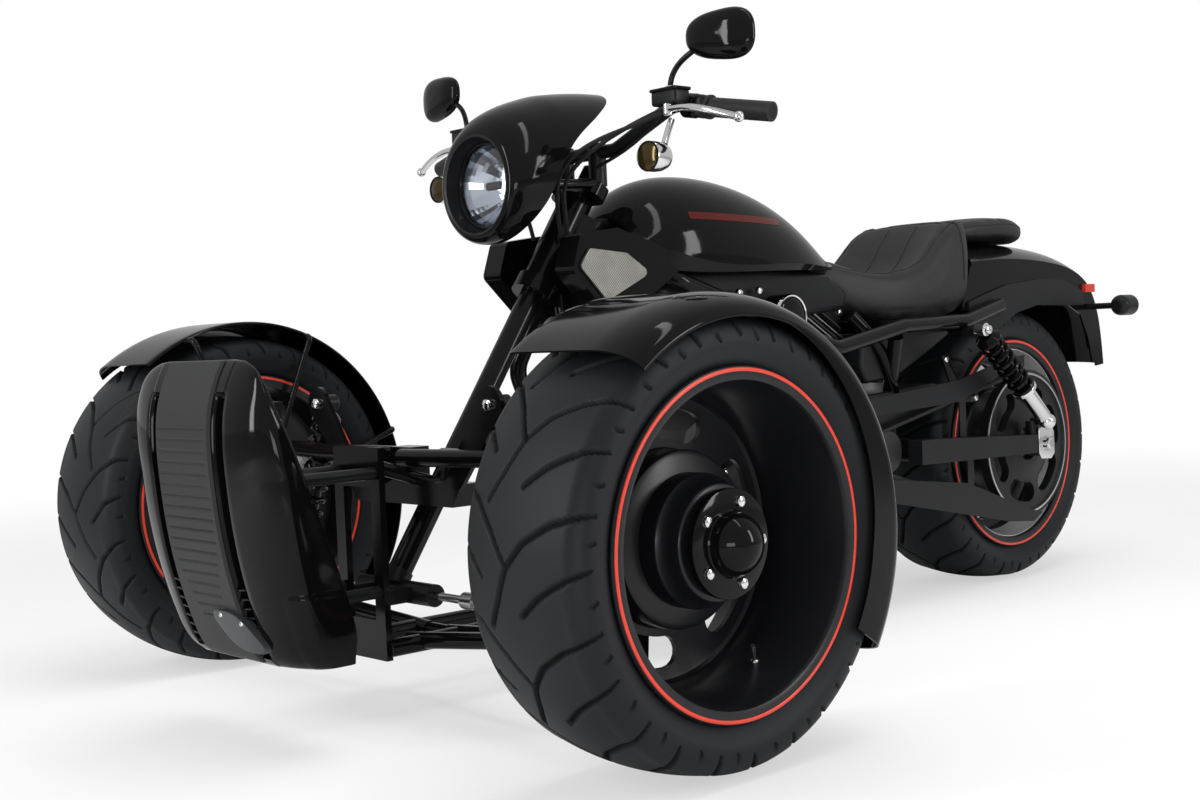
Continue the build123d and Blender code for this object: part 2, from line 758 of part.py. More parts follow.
def tie_rods():
    """The rack bar and both tie rods, which slide across together."""
    body = rod((rack_x, -rack_bar_half, rack_z), (rack_x, rack_bar_half, rack_z), rack_bar_radius)
    end_z = steer_arm_z - steer_eye_height / 2 - tie_gap - tie_end_height
    for side in (1, -1):
        body += rod((rack_x, side * (rack_bar_half - tie_end_radius), rack_z),
                    (rack_x, side * (rack_bar_half + tie_end_radius), rack_z), rack_boot_radius)
        body += rod((rack_x, side * rack_bar_half, rack_z),
                    (tie_end_x, side * (steer_arm_y - tie_end_radius * tie_sink_share),
                     end_z + tie_end_height / 2), tie_rod_radius * tie_neck_share)
        body += rod((tie_end_x, side * steer_arm_y, end_z),
                    (tie_end_x, side * steer_arm_y, end_z + tie_end_height), tie_end_radius)
    return body


save("tie_rods", tie_rods())

# Front subframe: a cross box with shock towers above, a nose bulkhead and two lower rails
cross_x_low = -10.0
cross_x_high = 28.0
cross_z_low = 346.0
cross_z_high = 386.0
cross_low_half = 140.0
cross_high_half = 166.0
tower_top_y = 250.0
tower_top_z = 516.0
tower_x = 22.0
tower_wall = 8.0
tower_radius = 30.0
tower_foot_y = 118.0
pivot_y = 30.0
upper_pivot_drop = 5.0
lower_pivot_drop = 40.0
upper_pivot_z = upper_ball_z - upper_pivot_drop
lower_pivot_z = lower_ball_z - lower_pivot_drop
pivot_front_x = 48.0
pivot_back_x = -38.0
pivot_radius = 16.0
pivot_pin_radius = 6.0
bulk_half_width = 66.0
bulk_top_z = 450.0
bulk_low_z = 98.0
lower_rail_y = 62.0
lower_rail_radius = 15.0
cross_tube_radius = 12.0
lower_rail_back_x = -500.0
lower_rail_back_z = 168.0
lower_rail_knee_x = -330.0
lower_rail_bend = 60.0
shock_radius = 26.0
shock_top_x = 4.0
shock_foot_inset = 113.0
shock_foot_rise = 18.0
shock_foot_y = kingpin_y - shock_foot_inset
shock_foot_z = lower_ball_z + shock_foot_rise
shock_shaft_radius = 9.0
shock_eye_radius = 15.0
shock_eye_width = 26.0
shock_turns = 5
shock_gap_share = 0.45
shock_core_share = 0.6
web_low_share = 0.3
web_side_share = 0.6
web_top_share = 0.8
strut_y_share = 0.8
hole_share = 0.6
clevis_share = 0.5


def subframe():
    """Welded front subframe with towers, bulkhead and pivot blocks."""
    body = front_plate([(-cross_low_half, cross_z_low), (cross_low_half, cross_z_low),
                        (cross_high_half, cross_z_high), (-cross_high_half, cross_z_high)],
                       cross_x_low, cross_x_high)
    body += Box(cross_x_high - cross_x_low, pivot_y * 2, upper_pivot_z + pivot_radius - cross_z_high).moved(
        Location(((cross_x_low + cross_x_high) / 2, 0, (upper_pivot_z + pivot_radius + cross_z_high) / 2)))
    for side in (1, -1):
        top = rod((tower_x, side * tower_top_y, tower_top_z), (tower_x + tower_wall, side * tower_top_y,
                  tower_top_z), tower_radius)
        web = front_plate([
            (side * tower_foot_y, cross_z_high - tower_wall), (side * cross_high_half, cross_z_high - tower_wall),
            (side * (tower_top_y + tower_radius), tower_top_z - tower_radius * web_low_share),
            (side * (tower_top_y - tower_radius * web_side_share), tower_top_z + tower_radius * web_top_share)],
            tower_x, tower_x + tower_wall)
        body += top + web
        body += rod((shock_top_x + shock_eye_width / 2, side * tower_top_y, tower_top_z),
                    (tower_x, side * tower_top_y, tower_top_z), shock_eye_radius)
        strut_y = side * bulk_half_width * strut_y_share
        body += rod((cross_x_low, strut_y, cross_z_high - tower_wall),
                    (bulk_x + bulk_wall / 2, strut_y, bulk_top_z - pivot_radius * 2), cross_tube_radius)
        body += pipe([(lower_rail_back_x, side * lower_rail_y, lower_rail_back_z),
                      (lower_rail_knee_x, side * lower_rail_y, lower_pivot_z),
                      (bulk_x + bulk_wall / 2, side * lower_rail_y, lower_pivot_z)],
                     lower_rail_radius, lower_rail_bend)
    frame = front_plate([(-bulk_half_width, bulk_low_z), (bulk_half_width, bulk_low_z),
                         (bulk_half_width, bulk_top_z), (-bulk_half_width, bulk_top_z)],
                        bulk_x, bulk_x + bulk_wall)
    hole_half = bulk_half_width * hole_share
    hole = front_plate([(-hole_half, bulk_low_z + bulk_half_width), (hole_half, bulk_low_z + bulk_half_width),
                        (hole_half, bulk_top_z - bulk_half_width), (-hole_half, bulk_top_z - bulk_half_width)],
                       bulk_x - cut_over, bulk_x + bulk_wall + cut_over)
    body += frame - hole
    body += rod((pivot_back_x, -lower_rail_y, lower_pivot_z), (pivot_back_x, lower_rail_y, lower_pivot_z),
                cross_tube_radius)
    return body


front_subframe = subframe()
save("front_subframe", front_subframe)


def wishbone(pivot_z, ball_z, front_radius, back_radius):
    """Left arm: two tubes from the inner pivots to a clevis over and under the knuckle's eye."""
    lug_wall = ball_radius * clevis_share
    neck_y = kingpin_y - ball_radius - lug_wall * 2
    lug_top = ball_height / 2 + tie_gap + lug_wall
    body = rod((pivot_front_x, pivot_y, pivot_z), (0, neck_y, ball_z), front_radius)
    body += rod((pivot_back_x, pivot_y, pivot_z), (0, neck_y, ball_z), back_radius)
    block = Box(ball_radius * 2, lug_wall * 2, lug_top * 2).moved(Location((0, neck_y, ball_z)))
    body += block
    for side in (1, -1):
        z = ball_z + side * (lug_top - lug_wall / 2)
        body += Box(ball_radius * 2, kingpin_y - neck_y, lug_wall).moved(
            Location((0, (kingpin_y + neck_y) / 2, z)))
        body += rod((0, kingpin_y, z - lug_wall / 2), (0, kingpin_y, z + lug_wall / 2), lug_end_radius)
    body += rod((0, kingpin_y, ball_z - lug_top), (0, kingpin_y, ball_z + lug_top), kingpin_radius)
    return body - front_subframe


upper_arm_radius = 15.0
upper_arm_back_radius = 10.0
lower_arm_radius = 14.0
upper_left = wishbone(upper_pivot_z, upper_ball_z, upper_arm_radius, upper_arm_back_radius)
lower_left = wishbone(lower_pivot_z, lower_ball_z, lower_arm_radius, lower_arm_radius)
save("upper_arms", *both(upper_left))
save("lower_arms", *both(lower_left))


def coilover(top, foot, radius, turns):
    """A damper with stacked spring turns and an eye at each end."""
    run = Vector(*foot) - Vector(*top)
    along = run.normalized()
    start = Vector(*top)
    span = run.length
    body = rod(start, foot, shock_shaft_radius)
    pitch = (span - shock_eye_radius * 4) / turns
    for number in range(turns):
        low = start + along * (shock_eye_radius * 2 + pitch * number)
        body += rod(low, low + along * pitch * (1 - shock_gap_share), radius)
    body += rod(start + along * shock_eye_radius * 2, start + along * (span - shock_eye_radius * 2),
                radius * shock_core_share)
    for spot in (Vector(*top), Vector(*foot)):
        half = Vector(shock_eye_width / 2, 0, 0)
        body += rod(spot - half, spot + half, shock_eye_radius)
    return body


front_shock = coilover((shock_top_x, tower_top_y, tower_top_z), (shock_top_x, shock_foot_y, shock_foot_z),
                       shock_radius, shock_turns)
front_shock = front_shock - lower_left - upper_left - front_subframe
save("shocks_front", *both(front_shock))

# Radiator shroud: two swept shells each side of a ribbed middle band, with the core behind
shroud_rows = [
    # height, front's setback, depth, half width
    (132.0, 95.0, 73.0, 196.0),
    (186.0, 85.0, 79.0, 206.0),
    (270.0, 56.0, 82.0, 213.0),
    (350.0, 28.0, 80.0, 217.0),
    (430.0, 6.0, 74.0, 216.0),
    (480.0, 0, 64.0, 212.0),
    (530.0, 4.0, 44.0, 201.0),
    (570.0, 16.0, 24.0, 184.0),
    (592.0, 26.0, 14.0, 160.0),
    (606.0, 35.0, 7.0, 120.0),
]
shroud_sweep = 52.0
shroud_sweep_share = 0.6
shroud_wall = 6.0
shroud_back_walls = 3
band_half_width = 84.0
slot_depth = 26.0
slot_reach = 30.0
slot_low_z = 150.0
slot_high_z = 560.0
rib_width_share = 0.75
rib_low_z = 200.0
rib_high_z = 505.0
rib_count = 18
rib_depth = 3.0
rib_share = 0.5
core_wall = 42.0
core_half_width = 170.0
core_low_z = 170.0
core_high_z = 540.0
core_bracket_radius = 10.5


def shroud_front(z):
    """Where the shroud's front stands at a height, read between its two nearest rows."""
    for low, high in zip(shroud_rows, shroud_rows[1:]):
        if z <= high[0]:
            share = (z - low[0]) / (high[0] - low[0])
            return shroud_reach - low[1] - (high[1] - low[1]) * share
    return shroud_reach - shroud_rows[-1][1]


def shroud_heights(low, high):
    """Both given heights and those of the rows between them."""
    return [low] + [row[0] for row in shroud_rows if low < row[0] < high] + [high]


def shroud_body(inset):
    """The shroud's outside, or its inside when inset by the wall: flat across the band, round at each side."""
    faces = []
    for z, setback, depth, half in shroud_rows:
        front = shroud_reach - setback - inset
        back = shroud_reach - setback - depth - inset * shroud_back_walls
        sweep = min(shroud_sweep, depth * shroud_sweep_share)
        side = half - inset
        width = side - band_half_width
        turn = math.atan(sweep / width)
        round_r = (width ** 2 + sweep ** 2) / (2 * sweep)
        left = [(front, band_half_width, z),
                (front - round_r * (1 - math.cos(turn)), band_half_width + round_r * math.sin(turn), z),
                (front - sweep, side, z)]
        right = [(x, -y, height) for x, y, height in left[::-1]]
        faces.append(make_face([
            ThreePointArc(*left), Line((front - sweep, side, z), (back, side, z)),
            Line((back, side, z), (back, -side, z)), Line((back, -side, z), (front - sweep, -side, z)),
            ThreePointArc(*right), Line((front, -band_half_width, z), (front, band_half_width, z))]))
    return loft(faces, ruled=True)


def shroud_parts():
    """Hollow shells with slots beside the band, and the band itself."""
    shell = shroud_body(0) - shroud_body(shroud_wall)
    channel = [(shroud_front(z) - slot_depth, z) for z in shroud_heights(slot_low_z, slot_high_z)]
    front = [(x + slot_depth * 2, z) for x, z in channel]
    slots = side_plate(channel + front[::-1], band_half_width, band_half_width + slot_reach)
    slots += mirror(slots, about=Plane.XZ)
    shell = shell - slots
    edge = [(shroud_front(z), z) for z in shroud_heights(shroud_rows[0][0], shroud_rows[-1][0])]
    back = [(x - slot_depth, z) for x, z in edge]
    front = [(x + band_stand, z) for x, z in edge]
    shell = shell - side_plate(back + front[::-1], -band_half_width, band_half_width)
    band = side_plate([(x + seat_gap, z) for x, z in back] + front[::-1], -band_half_width + seat_gap,
                      band_half_width - seat_gap)
    pitch = (rib_high_z - rib_low_z) / rib_count
    for number in range(rib_count):
        z = rib_low_z + pitch * number
        x = shroud_front(z) + band_stand
        groove = Box(rib_depth * 2, band_half_width * 2 * rib_width_share, pitch * rib_share)
        band -= groove.moved(Location((x, 0, z)))
    return shell, band


shroud_shell, shroud_band = shroud_parts()
save("radiator_shroud", shroud_shell)
save("radiator_band", shroud_band)


def radiator():
    """Leaning core and the brackets back to the bulkhead."""
    front = [(shroud_front(z) - slot_depth - seat_gap, z) for z in shroud_heights(core_low_z, core_high_z)]
    body = side_plate(front + [(x - core_wall, z) for x, z in front[::-1]], -core_half_width, core_half_width)
    strut_y = bulk_half_width * strut_y_share
    for z in (core_low_z + core_wall, bulk_top_z - core_wall):
        for y in (strut_y, -strut_y):
            body += rod((bulk_x + bulk_wall + seat_gap, y, z),
                        (shroud_front(z) - slot_depth - core_wall / 2, y, z), core_bracket_radius)
    return body - shroud_shell - front_subframe


save("radiator", radiator())

# Frame: steering head with gussets, upper rails under the tank and seat, and the lower cradle
gusset_half_width = 30.0
rail_radius = 16.0
rail_bend = 60.0
collar_share = 1.25
gusset_length = 90.0
cross_bar_share = 0.8
cross_bar_lift = 18.0


def steering_head():
    """Head tube and the gusset behind it."""
    body = rod(on_column(head_low, 0, 0), on_column(head_high, 0, 0), head_radius)
    body += rod(on_column(head_low, 0, 0), on_column(head_low + head_radius, 0, 0), head_radius * collar_share)
    x_low, y, z_low = on_column(head_low + head_radius, 0, 0)
    x_high, y, z_high = on_column(head_high - head_radius, 0, 0)
    body += side_plate([
        (x_low, z_low), (x_high, z_high), (x_high - gusset_length, z_high - gusset_half_width),
        (x_high - gusset_length, z_low - gusset_half_width), (x_low - gusset_half_width, z_low - gusset_length)],
        -gusset_half_width, gusset_half_width)
    return body - rod(on_column(head_low - head_radius, 0, 0), on_column(head_high + head_radius, 0, 0),
                      stem_radius + head_fit)


frame_head = steering_head()
save("frame_head", frame_head)

rail_points = [(-400.0, 24.0, 800.0), (-540.0, 120.0, 716.0), (-930.0, 178.0, 572.0), (-1165.0, 172.0, 612.0),
               (-1400.0, 168.0, 618.0), (-1560.0, 150.0, 650.0)]
cradle_points = [(-330.0, 24.0, 690.0), (-300.0, 80.0, 560.0), (-430.0, 112.0, 300.0),
                 (-500.0, 118.0, 150.0), (-1090.0, 118.0, 150.0), (-1192.0, 100.0, 330.0),
                 (-1196.0, 100.0, 450.0), (-1150.0, 160.0, 590.0)]
pivot_x = -1205.0
pivot_z = 340.0
pivot_tube_radius = 22.0
swing_y = 176.0
swing_half_wall = 18.0


def rails():
    """Upper rails, joined across under the seat."""
    left = pipe(rail_points, rail_radius, rail_bend)
    body = left + mirror(left, about=Plane.XZ)
    for x, y, z in rail_points[3:5]:
        body += rod((x, -y, z), (x, y, z), rail_radius * cross_bar_share)
    return body - frame_head


def cradle():
    """Down tubes and lower cradle, joined across in front, behind and at the swingarm pivot."""
    left = pipe(cradle_points, rail_radius, rail_bend)
    body = left + mirror(left, about=Plane.XZ)
    for x, y, z in cradle_points[3:5]:
        body += rod((x, -y, z + cross_bar_lift), (x, y, z + cross_bar_lift), rail_radius * cross_bar_share)
    tube_end = swing_y - swing_half_wall - seat_gap
    body += rod((pivot_x, -tube_end, pivot_z), (pivot_x, tube_end, pivot_z), pivot_tube_radius)
    return body - frame_head - front_subframe


frame_rails = rails()
frame_cradle = cradle() - frame_rails
save("frame_rails", frame_rails)
save("frame_cradle", frame_cradle)

# Engine: a plain block for the closed case, with two finned cylinders standing out of it
case_half_width = 96.0
case_points = [(-545.0, 186.0), (-1075.0, 186.0), (-1120.0, 300.0), (-1090.0, 430.0), (-960.0, 500.0),
               (-700.0, 500.0), (-570.0, 430.0), (-520.0, 300.0)]
crank_x = -830.0
crank_z = 330.0
cylinder_lean = 30.0
cylinder_foot = 150.0
cylinder_top = 372.0
cylinder_half_width = 78.0
cylinder_barrel_radius = 62.0
fin_wall = 4.0
fin_count = 9
fin_round = 20.0
cover_radius = 92.0
cover_wall = 34.0
cover_x = -900.0
cover_front_x = -697.6
cover_z = 310.0
fin_start_share = 0.6
head_share = 0.9
head_height = 32.0
belt_shift = 0.6
belt_y = pulley_offset + belt_shift
belt_width = 22.0
sprocket_x = -1130.0
sprocket_z = 345.0
sprocket_radius = 44.0
engine_block = side_plate(case_points, -case_half_width, case_half_width) - frame_cradle
for side_x in (cover_x, cover_front_x):
    engine_block += rod((side_x, -case_half_width - cover_wall, cover_z), (side_x, case_half_width + cover_wall,
                        cover_z), cover_radius)
engine_block += rod((sprocket_x, 0, sprocket_z), (sprocket_x, belt_y + belt_width / 2, sprocket_z),
                    sprocket_radius)
engine_block = engine_block - frame_cradle - frame_rails
save("engine_block", engine_block)


def cylinder(sign):
    """One barrel with square fins and a plain head, leaning forward or back from the crank."""
    turn = math.radians(cylinder_lean) * sign
    up = Vector(math.sin(turn), 0, math.cos(turn))
    crank = Vector(crank_x, 0, crank_z)
    body = rod(crank + up * cylinder_foot, crank + up * cylinder_top, cylinder_barrel_radius)
    pitch = (cylinder_top - cylinder_foot) / fin_count
    for number in range(fin_count):
        spot = crank + up * (cylinder_foot + pitch * (number + fin_start_share))
        plane = Plane(origin=spot, x_dir=(math.cos(turn), 0, -math.sin(turn)), z_dir=up)
        size = cylinder_half_width * 2
        body += extrude(plane * RectangleRounded(size, size, fin_round), amount=fin_wall)
    head_plane = Plane(origin=crank + up * cylinder_top, x_dir=(math.cos(turn), 0, -math.sin(turn)), z_dir=up)
    size = cylinder_half_width * 2 * head_share
    body += extrude(head_plane * RectangleRounded(size, size, fin_round), amount=head_height)
    return body


cylinder_front = cylinder(1) - engine_block - frame_rails
cylinder_rear = cylinder(-1) - engine_block - frame_rails - cylinder_front
save("cylinders", cylinder_front, cylinder_rear)

# Tank cover with its side scoops, silver screens, seat, pillion pad and rear fender
tank_rows = [
    # x, crown height, crease half width, crease height, foot half width, foot height
    (-450.0, 840.0, 98.0, 796.0, 92.0, 748.0),
    (-510.0, 896.0, 130.0, 774.0, 124.0, 736.0),
    (-620.0, 924.0, 150.0, 748.0, 146.0, 730.0),
    (-780.0, 908.0, 153.0, 745.0, 148.0, 732.0),
    (-920.0, 854.0, 132.0, 745.0, 126.0, 734.0),
    (-1040.0, 768.0, 84.0, 744.0, 80.0, 736.0),
]
scoop_points = [(-268.0, 735.0), (-290.0, 800.0), (-380.0, 812.0), (-475.0, 785.0), (-560.0, 752.0),
                (-540.0, 736.0), (-470.0, 694.0), (-345.0, 660.0)]
scoop_inner_y = 78.0
scoop_outer_y = 128.0
scoop_round = 14.0


def tank_cover():
    """Long low cover lofted through arched sections, with a crease and a low band along each side."""
    faces = []
    for x, crown, crease_half, crease, foot_half, foot in tank_rows:
        left = Vector(x, crease_half, crease)
        right = Vector(x, -crease_half, crease)
        foot_left = Vector(x, foot_half, foot)
        foot_right = Vector(x, -foot_half, foot)
        faces.append(make_face([ThreePointArc(left, Vector(x, 0, crown), right), Line(right, foot_right),
                                Line(foot_right, foot_left), Line(foot_left, left)]))
    body = loft(faces)
    scoop = side_plate(scoop_points, scoop_inner_y, scoop_outer_y)
    scoop = fillet(scoop.edges().filter_by(Axis.Y), scoop_round)
    return body + scoop + mirror(scoop, about=Plane.XZ)


tank = tank_cover() - frame_head - frame_rails
save("tank_cover", tank)

screen_points = [(-282.0, 742.0), (-306.0, 774.0), (-396.0, 766.0), (-455.0, 730.0), (-345.0, 680.0)]
screen_wall = 5.0
screen_round = 9.0
screen_left = side_plate(screen_points, scoop_outer_y + seat_gap, scoop_outer_y + seat_gap + screen_wall)
screen_left = fillet(screen_left.edges().filter_by(Axis.Y), screen_round)
save("side_screens", *both(screen_left))

seat_rows = [
    # x, underside, top, half width
    (-1000.0, 694.0, 742.0, 60.0),
    (-1070.0, 660.0, 764.0, 96.0),
    (-1150.0, 638.0, 742.0, 136.0),
    (-1200.0, 632.0, 768.0, 148.0),
    (-1260.0, 630.0, 822.0, 152.0),
    (-1330.0, 630.0, 850.0, 154.0),
    (-1410.0, 636.0, 862.0, 152.0),
    (-1480.0, 700.0, 864.0, 130.0),
]
pillion_rows = [
    # x, underside, top, half width
    (-1500.0, 800.0, 838.0, 88.0),
    (-1570.0, 800.0, 854.0, 108.0),
    (-1660.0, 802.0, 860.0, 110.0),
    (-1740.0, 798.0, 856.0, 96.0),
    (-1800.0, 794.0, 820.0, 60.0),
]
cushion_round_share = 0.4


def cushion(rows):
    """A soft closed solid lofted through round-cornered sections."""
    faces = []
    for x, low, high, half in rows:
        plane = Plane(origin=(x, 0, (low + high) / 2), x_dir=(0, 1, 0), z_dir=(1, 0, 0))
        faces.append(plane * RectangleRounded(half * 2, high - low, (high - low) * cushion_round_share))
    return loft(faces)


seat = cushion(seat_rows) - tank - frame_rails - cylinder_rear
save("seat", seat)

fender_width_half = 134.0
fender_thick = 5.0
fender_crown_gap = 154.0
fender_round_drop = 45.0
fender_lip = 34.0
fender_crown_z = tyre_radius * 2 + fender_crown_gap
fender_top_shares = [(-0.452, 0.991), (-0.048, 1.0), (0.319, 0.99), (0.617, 0.962), (0.815, 0.905),
                     (0.921, 0.825), (0.972, 0.735), (1.0, 0.623)]
fender_side_shares = [(-0.452, 0.923), (-0.048, 0.932), (0.319, 0.924), (0.583, 0.893), (0.711, 0.855),
                      (0.779, 0.793), (0.812, 0.72), (0.838, 0.623), (0.774, 0.623), (0.73, 0.7),
                      (0.65, 0.775), (0.429, 0.827), (0.095, 0.844), (-0.238, 0.816), (-0.548, 0.797)]
strut_wall = 6.0
strut_shares = [(-0.498, 0.821), (-0.352, 0.841), (-0.129, 0.869), (0.181, 0.883), (0.45, 0.882),
                (0.64, 0.849), (0.679, 0.802), (0.443, 0.804), (0.174, 0.807), (-0.036, 0.787),
                (-0.19, 0.751), (-0.29, 0.738), (-0.502, 0.777)]
strut_round = 7.0


def fender_places(shares):
    """Points in X and Z from shares of the tail's reach behind the axle and of the crown's height."""
    return [(rear_axle_x - fender_tail_reach * back, fender_crown_z * up) for back, up in shares]


def rear_fender():
    """Bobbed rear fender: a rounded shell swept along its crown, with side walls down to the wheel arch."""
    path = Spline(*[(x, 0, z) for x, z in fender_places(fender_top_shares)])
    along = path % 0
    up = Vector(-along.Z, 0, along.X) * (-1 if along.X < 0 else 1)
    place = Plane(origin=path @ 0, x_dir=(0, 1, 0), z_dir=Vector(0, 1, 0).cross(up))
    half = fender_width_half
    inner = half - fender_thick
    low = -fender_round_drop - fender_lip
    section = make_face([
        ThreePointArc((half, -fender_round_drop), (0, 0), (-half, -fender_round_drop)),
        Polyline((-half, -fender_round_drop), (-half, low), (-inner, low), (-inner, -fender_round_drop)),
        ThreePointArc((-inner, -fender_round_drop), (0, -fender_thick), (inner, -fender_round_drop)),
        Polyline((inner, -fender_round_drop), (inner, low), (half, low), (half, -fender_round_drop))])
    shell = sweep(place * section, path=path)
    side = side_plate(fender_places(fender_side_shares), inner, half)
    return shell + side + mirror(side, about=Plane.XZ)


rear_fender_shell = rear_fender() - frame_rails - seat
save("rear_fender", rear_fender_shell)
pillion = cushion(pillion_rows) - seat - rear_fender_shell
save("pillion_pad", pillion)
strut_y_low = fender_width_half + seat_gap
strut_left = side_plate(fender_places(strut_shares), strut_y_low, strut_y_low + strut_wall)
strut_left = fillet(strut_left.edges().filter_by(Axis.Y), strut_round) - frame_rails
save("fender_struts", *both(strut_left))

# Tail: side markers, rear signals on stalks and a bare plate bracket
marker_back = 306.0
marker_z = 676.0
marker_length = 44.0
marker_height = 20.0
marker_wall = 9.0
tail_signal_back = 305.0
tail_signal_y = 232.0
tail_signal_z = 640.0
stalk_share = 0.3
tail_signal_radius = 25.0
tail_signal_length = 58.0
plate_half_width = 92.0
plate_low_z = 512.0
plate_high_z = 612.0
plate_wall = 3.0
plate_hole_radius = 3.5
plate_hole_spacing = 146.0
plate_boss_radius = 8.0
plate_boss_length = 13.5
marker_x = rear_axle_x - marker_back
tail_signal_x = rear_axle_x - tail_signal_back


def rear_lamps():
    """Left side marker and the bullet signal that stands out on its stalk."""
    marker = Box(marker_length, marker_wall, marker_height).moved(Location(
        (marker_x, fender_width_half + marker_wall / 2 + seat_gap, marker_z + marker_height / 2)))
    bullet = rod((tail_signal_x - tail_signal_length / 2, tail_signal_y, tail_signal_z),
                 (tail_signal_x + tail_signal_length / 2, tail_signal_y, tail_signal_z), tail_signal_radius)
    bullet = fillet(bullet.edges().sort_by(Axis.X)[-1], tail_signal_radius * round_share)
    stalk = rod((tail_signal_x, fender_width_half + seat_gap, tail_signal_z),
                (tail_signal_x, tail_signal_y, tail_signal_z), tail_signal_radius * stalk_share)
    return bullet + stalk - rear_fender_shell, marker


signal_rear_left, marker_left = rear_lamps()
save("signals_rear", *both(signal_rear_left))
save("side_markers", *both(marker_left))


def plate_bracket():
    """Bare plate holder with two holes, on a stem behind the fender's tail."""
    x = -tail_reach
    body = front_plate([(-plate_half_width, plate_low_z), (plate_half_width, plate_low_z),
                        (plate_half_width, plate_high_z), (-plate_half_width, plate_high_z)], x, x + plate_wall)
    z = (plate_low_z + plate_high_z) / 2
    for side in (1, -1):
        y = side * plate_hole_spacing / 2
        body -= rod((x - cut_over, y, z), (x + plate_wall + cut_over, y, z), plate_hole_radius)
    body += rod((x + plate_wall / 2, 0, z), (x + plate_boss_length, 0, z), plate_boss_radius)
    return body - rear_fender_shell


save("plate_bracket", plate_bracket())

# Rear end: swingarm, twin shocks, belt with its guards, exhaust and foot pegs
swing_height = 52.0
swing_front_x = -1205.0
swing_axle_boss = 30.0
axle_half = 205.0
rear_shock_y = 216.0
rear_shock_top_x = -1385.0
rear_shock_top_z = 596.0
rear_shock_foot_x = -1636.0
rear_shock_foot_z = 378.0
rear_shock_radius = 26.0
leg_end_share = 0.8
shock_lug_share = 0.5
bridge_share = 1.5


def swingarm():
    """Two box legs on a cross tube, with the rear axle between their ends."""
    half = swing_height / 2
    leg = side_plate([
        (swing_front_x + pivot_tube_radius, pivot_z - half), (swing_front_x + pivot_tube_radius, pivot_z + half),
        (swing_front_x - half, pivot_z + half), (rear_axle_x, axle_height + half * leg_end_share),
        (rear_axle_x - half, axle_height + half * leg_end_share),
        (rear_axle_x - half, axle_height - half * leg_end_share),
        (rear_axle_x, axle_height - half * leg_end_share)],
        swing_y - swing_half_wall, swing_y + swing_half_wall)
    leg += rod((rear_axle_x, swing_y - swing_half_wall, axle_height),
               (rear_axle_x, swing_y + swing_half_wall + cut_over, axle_height), swing_axle_boss)
    leg += rod((rear_shock_foot_x, swing_y, axle_height + half * shock_lug_share),
               (rear_shock_foot_x, swing_y, rear_shock_foot_z), shock_eye_radius)
    pin_end = rear_shock_y - shock_eye_width / 2 - seat_gap
    leg += rod((rear_shock_foot_x, swing_y, rear_shock_foot_z),
               (rear_shock_foot_x, pin_end, rear_shock_foot_z), shock_shaft_radius)
    body = leg + mirror(leg, about=Plane.XZ)
    bridge_x = swing_front_x - swing_height * bridge_share
    body += rod((bridge_x, -swing_y, pivot_z), (bridge_x, swing_y, pivot_z), pivot_tube_radius)
    body += rod((rear_axle_x, -axle_half, axle_height), (rear_axle_x, axle_half, axle_height), rear_axle_radius)
    return body - frame_cradle


swing = swingarm()
save("swingarm", swing)


def rear_coilover():
    """Left rear shock, with an eye at each end turned along Y."""
    top = Vector(rear_shock_top_x, rear_shock_y, rear_shock_top_z)
    foot = Vector(rear_shock_foot_x, rear_shock_y, rear_shock_foot_z)
    along = (foot - top).normalized()
    span = (foot - top).length
    body = rod(top, foot, shock_shaft_radius)
    pitch = (span - shock_eye_radius * 4) / shock_turns
    for number in range(shock_turns):
        low = top + along * (shock_eye_radius * 2 + pitch * number)
        body += rod(low, low + along * pitch * (1 - shock_gap_share), rear_shock_radius)
    body += rod(top + along * shock_eye_radius * 2, top + along * (span - shock_eye_radius * 2),
                rear_shock_radius * shock_core_share)
    for spot in (top, foot):
        half = Vector(0, shock_eye_width / 2, 0)
        body += rod(spot - half, spot + half, shock_eye_radius)
    body += rod((rear_shock_top_x, rail_points[4][1], rear_shock_top_z), top, shock_shaft_radius)
    return body - frame_rails - swing - rear_fender_shell


rear_shock = rear_coilover()
save("shocks_rear", *both(rear_shock))

belt_wall = 7.0
belt_gap = 0.3


def belt():
    """The drive belt as one loop between the two pulleys, with the front pulley inside it."""
    inner = pulley_radius + belt_gap
    back = Vector(rear_axle_x, axle_height)
    front = Vector(sprocket_x, sprocket_z)
    loops = []
    for wall in (belt_wall, 0):
        big = Pos(back.X, back.Y) * Circle(inner + wall)
        small = Pos(front.X, front.Y) * Circle(sprocket_radius + wall)
        loops.append(make_hull(big.edges() + small.edges()))
    place = Plane(origin=(0, belt_y + belt_width / 2, 0), x_dir=(1, 0, 0), z_dir=(0, -1, 0))
    return extrude(place * (loops[0] - loops[1]), amount=belt_width)


save("belt", belt() - engine_block)
guard_wall = 3.0
guard_y = swing_y - swing_half_wall - seat_gap - guard_wall
upper_guard = [(-1060.0, 425.0), (-1060.0, 462.0), (-1376.0, 486.0), (-1560.0, 524.0), (-1640.0, 532.0),
               (-1640.0, 505.0), (-1540.0, 490.0), (-1400.0, 444.0), (-1400.0, 340.0), (-1376.0, 340.0),
               (-1376.0, 438.0)]
lower_guard = [(-1078.0, 292.0), (-1078.0, 246.0), (-1560.0, 150.0), (-1660.0, 140.0), (-1700.0, 158.0),
               (-1640.0, 172.0), (-1424.0, 246.0), (-1424.0, 330.0), (-1400.0, 330.0), (-1400.0, 254.0)]


def belt_guards():
    """Flat guards over the belt's two runs, each with a tab against the swingarm's leg."""
    return [side_plate(points, guard_y, guard_y + guard_wall) - swing - frame_cradle
            for points in (upper_guard, lower_guard)]


save("belt_guards", *belt_guards())

